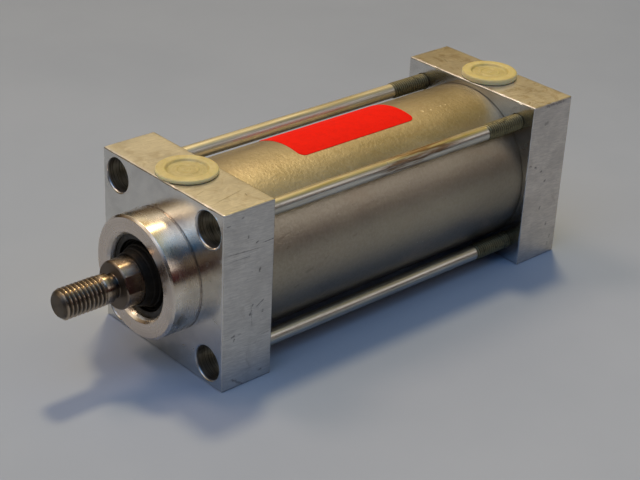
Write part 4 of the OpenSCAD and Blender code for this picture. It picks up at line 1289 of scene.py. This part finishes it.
def band(prev, turn_up, half, y0, y1, colour):
    """Adds a soft-edged strip of light lying along Y, at an angle round the rod axis from +X toward +Z."""
    sep, flat, unit = wnode("ShaderNodeSeparateXYZ"), wnode("ShaderNodeCombineXYZ"), wnode("ShaderNodeVectorMath", operation="NORMALIZE")
    nt.links.new(direction, sep.inputs[0])
    nt.links.new(sep.outputs[0], flat.inputs[0])
    nt.links.new(sep.outputs[2], flat.inputs[2])
    nt.links.new(flat.outputs[0], unit.inputs[0])
    dot = wnode("ShaderNodeVectorMath", operation="DOT_PRODUCT")
    nt.links.new(unit.outputs[0], dot.inputs[0])
    dot.inputs[1].default_value = (math.cos(math.radians(turn_up)), 0.0, math.sin(math.radians(turn_up)))

    def soft(v, a, b, c=0.0, d=1.0):
        m = wnode("ShaderNodeMapRange", interpolation_type="SMOOTHSTEP")
        nt.links.new(v, m.inputs[0])
        for k, q in enumerate((a, b, c, d)):
            m.inputs[1 + k].default_value = q
        return m.outputs[0]

    def times(a, b):
        m = wnode("ShaderNodeMath", operation="MULTIPLY")
        nt.links.new(a, m.inputs[0])
        nt.links.new(b, m.inputs[1])
        return m.outputs[0]

    wide = soft(dot.outputs["Value"], math.cos(math.radians(half * 1.5)), math.cos(math.radians(half * 0.5)))
    long = times(soft(sep.outputs[1], y0 - 0.08, y0 + 0.08), soft(sep.outputs[1], y1 - 0.08, y1 + 0.08, 1.0, 0.0))
    mix = wnode("ShaderNodeMix", data_type="RGBA", blend_type="ADD", clamp_factor=False)
    nt.links.new(times(wide, long), mix.inputs[0])
    nt.links.new(prev, mix.inputs[6])
    mix.inputs[7].default_value = (*colour, 1)
    return mix.outputs[2]


# the room as soft patches of light: height above the floor and bearing from +X toward +Y in degrees, then colour
ROOM = (
    (10, 150, (0.103, 0.044, 0.000)),
    (10, 210, (0.079, 0.037, 0.000)),
    (10, 330, (0.026, 0.001, 0.000)),
    (34, 18, (0.000, 0.001, 0.071)),
    (34, 54, (0.071, 0.025, 0.000)),
    (34, 90, (0.103, 0.054, 0.000)),
    (34, 126, (0.265, 0.162, 0.000)),
    (34, 162, (0.646, 0.573, 0.419)),
    (34, 198, (0.259, 0.216, 0.172)),
    (34, 234, (0.387, 0.330, 0.213)),
    (34, 270, (0.382, 0.397, 0.435)),
    (34, 306, (0.000, 0.002, 0.017)),
    (58, 0, (0.000, 0.122, 0.313)),
    (58, 45, (0.184, 0.221, 0.199)),
    (58, 90, (0.156, 0.119, 0.000)),
    (58, 135, (0.159, 0.105, 0.000)),
    (58, 180, (0.079, 0.031, 0.000)),
    (58, 225, (0.076, 0.023, 0.000)),
    (58, 270, (0.189, 0.233, 0.309)),
    (58, 315, (0.000, 0.098, 0.283)),
    (79, 20, (0.000, 0.108, 0.246)),
    (79, 110, (0.097, 0.140, 0.165)),
    (79, 200, (0.000, 0.000, 0.039)),
    (79, 290, (0.000, 0.063, 0.216)),
)
# narrow bands lying along the rod: height round the rod axis and half width in degrees, reach along +Y, colour
BANDS = (
    (30, 10, -0.78, -0.25, (0.131, 0.123, 0.091)),
    (50, 10, -0.78, -0.25, (0.000, 0.000, 0.029)),
    (70, 10, -0.78, -0.25, (0.322, 0.383, 0.497)),
    (90, 10, -0.78, -0.25, (0.768, 0.802, 0.866)),
    (110, 10, -0.78, -0.25, (0.066, 0.024, 0.000)),
    (130, 10, -0.78, -0.25, (0.812, 0.773, 0.696)),
    (10, 5, 0.30, 0.78, (0.039, 0.000, 0.000)),
    (20, 5, 0.30, 0.78, (0.105, 0.047, 0.000)),
    (30, 5, 0.30, 0.78, (1.029, 0.996, 0.969)),
    (40, 5, 0.30, 0.78, (0.809, 0.798, 0.788)),
    (50, 5, 0.30, 0.78, (0.457, 0.453, 0.439)),
    (60, 5, 0.30, 0.78, (0.034, 0.025, 0.000)),
    (70, 5, 0.30, 0.78, (0.071, 0.053, 0.000)),
    (80, 5, 0.30, 0.78, (0.117, 0.091, 0.000)),
    (90, 5, 0.30, 0.78, (0.126, 0.096, 0.000)),
    (100, 5, 0.30, 0.78, (0.102, 0.069, 0.000)),
    (110, 5, 0.30, 0.78, (0.044, 0.013, 0.000)),
    (120, 5, 0.30, 0.78, (0.022, 0.000, 0.000)),
    (130, 5, 0.30, 0.78, (0.045, 0.020, 0.000)),
    (140, 5, 0.30, 0.78, (0.464, 0.426, 0.363)),
    (150, 5, 0.30, 0.78, (0.120, 0.077, 0.000)),
)
sky = (0.0, 0.0, 0.0)
for height, bearing, colour in ROOM:
    e, a = math.radians(height), math.radians(bearing)
    sky = glow(sky, (math.cos(a) * math.cos(e), math.sin(a) * math.cos(e), math.sin(e)), 3, 28, colour)
for turn_up, half, y0, y1, colour in BANDS:
    sky = band(sky, turn_up, half, y0, y1, colour)
# looked at directly, past the edge of the floor, the room is the plain pale grey of the far floor
path, backdrop = wnode("ShaderNodeLightPath"), wnode("ShaderNodeMix", data_type="RGBA")
nt.links.new(path.outputs["Is Camera Ray"], backdrop.inputs[0])
nt.links.new(sky, backdrop.inputs[6])
backdrop.inputs[7].default_value = (0.335, 0.340, 0.345, 1)
nt.links.new(backdrop.outputs[2], wbg.inputs[0])
wbg.inputs[1].default_value = 1.0


def softbox(name, d, dist, sx, sy, strength, colour, shape="ELLIPSE", aim=(0.0, 0.06, 0.0)):
    """strength is the light it throws on a surface facing it, over pi; sy lies along the rod."""
    d = Vector(d).normalized()
    light = bpy.data.lights.new(name, "AREA")
    light.shape = shape
    light.size, light.size_y = sx, sy
    area = (math.pi / 4 if shape == "ELLIPSE" else 1.0) * sx * sy
    radiance = strength * math.pi / (area / dist ** 2)
    light.energy = radiance * math.pi * area
    light.color = colour
    ob = bpy.data.objects.new(name, light)
    up = (Vector((0, 1, 0)) - d * d.y).normalized()
    side = up.cross(d)
    turn_to = Matrix((side, up, d)).transposed()
    ob.matrix_world = Matrix.Translation(Vector(aim) + d * dist) @ turn_to.to_4x4()
    bpy.context.scene.collection.objects.link(ob)
    return ob


softbox("key_warm", (-0.26, 0.26, 0.93), 3.0, 0.40, 0.40, 0.3990, (1.000, 0.783, 0.446))
softbox("fill_warm", (-0.50, -0.18, 0.85), 3.0, 0.75, 0.75, 0.1659, (1.000, 0.735, 0.532))
softbox("front_white", (0.22, -0.30, 0.92), 3.0, 0.62, 1.0, 0.0167, (0.188, 0.490, 1.000))

# ---------------------------------------------------------------- camera, at the photograph's viewing angle
cam = bpy.data.cameras.new("camera")
cam.sensor_fit = "HORIZONTAL"
cam.sensor_width = 36.0
cam.lens = 85.324
cam.clip_start = 0.01
cam.clip_end = 20.0
co = bpy.data.objects.new("camera", cam)
rot = Matrix(((0.6643172, -0.3726286, 0.6479433), (0.7462050, 0.2806049, -0.6036878), (0.0431352, 0.8845388, 0.4644680)))
co.matrix_world = Matrix.Translation((0.34012, -0.24918, 0.232465)) @ rot.to_4x4()
bpy.context.scene.collection.objects.link(co)
bpy.context.scene.camera = co
bpy.context.scene.view_settings.view_transform = "Standard"

bpy.context.view_layer.update()
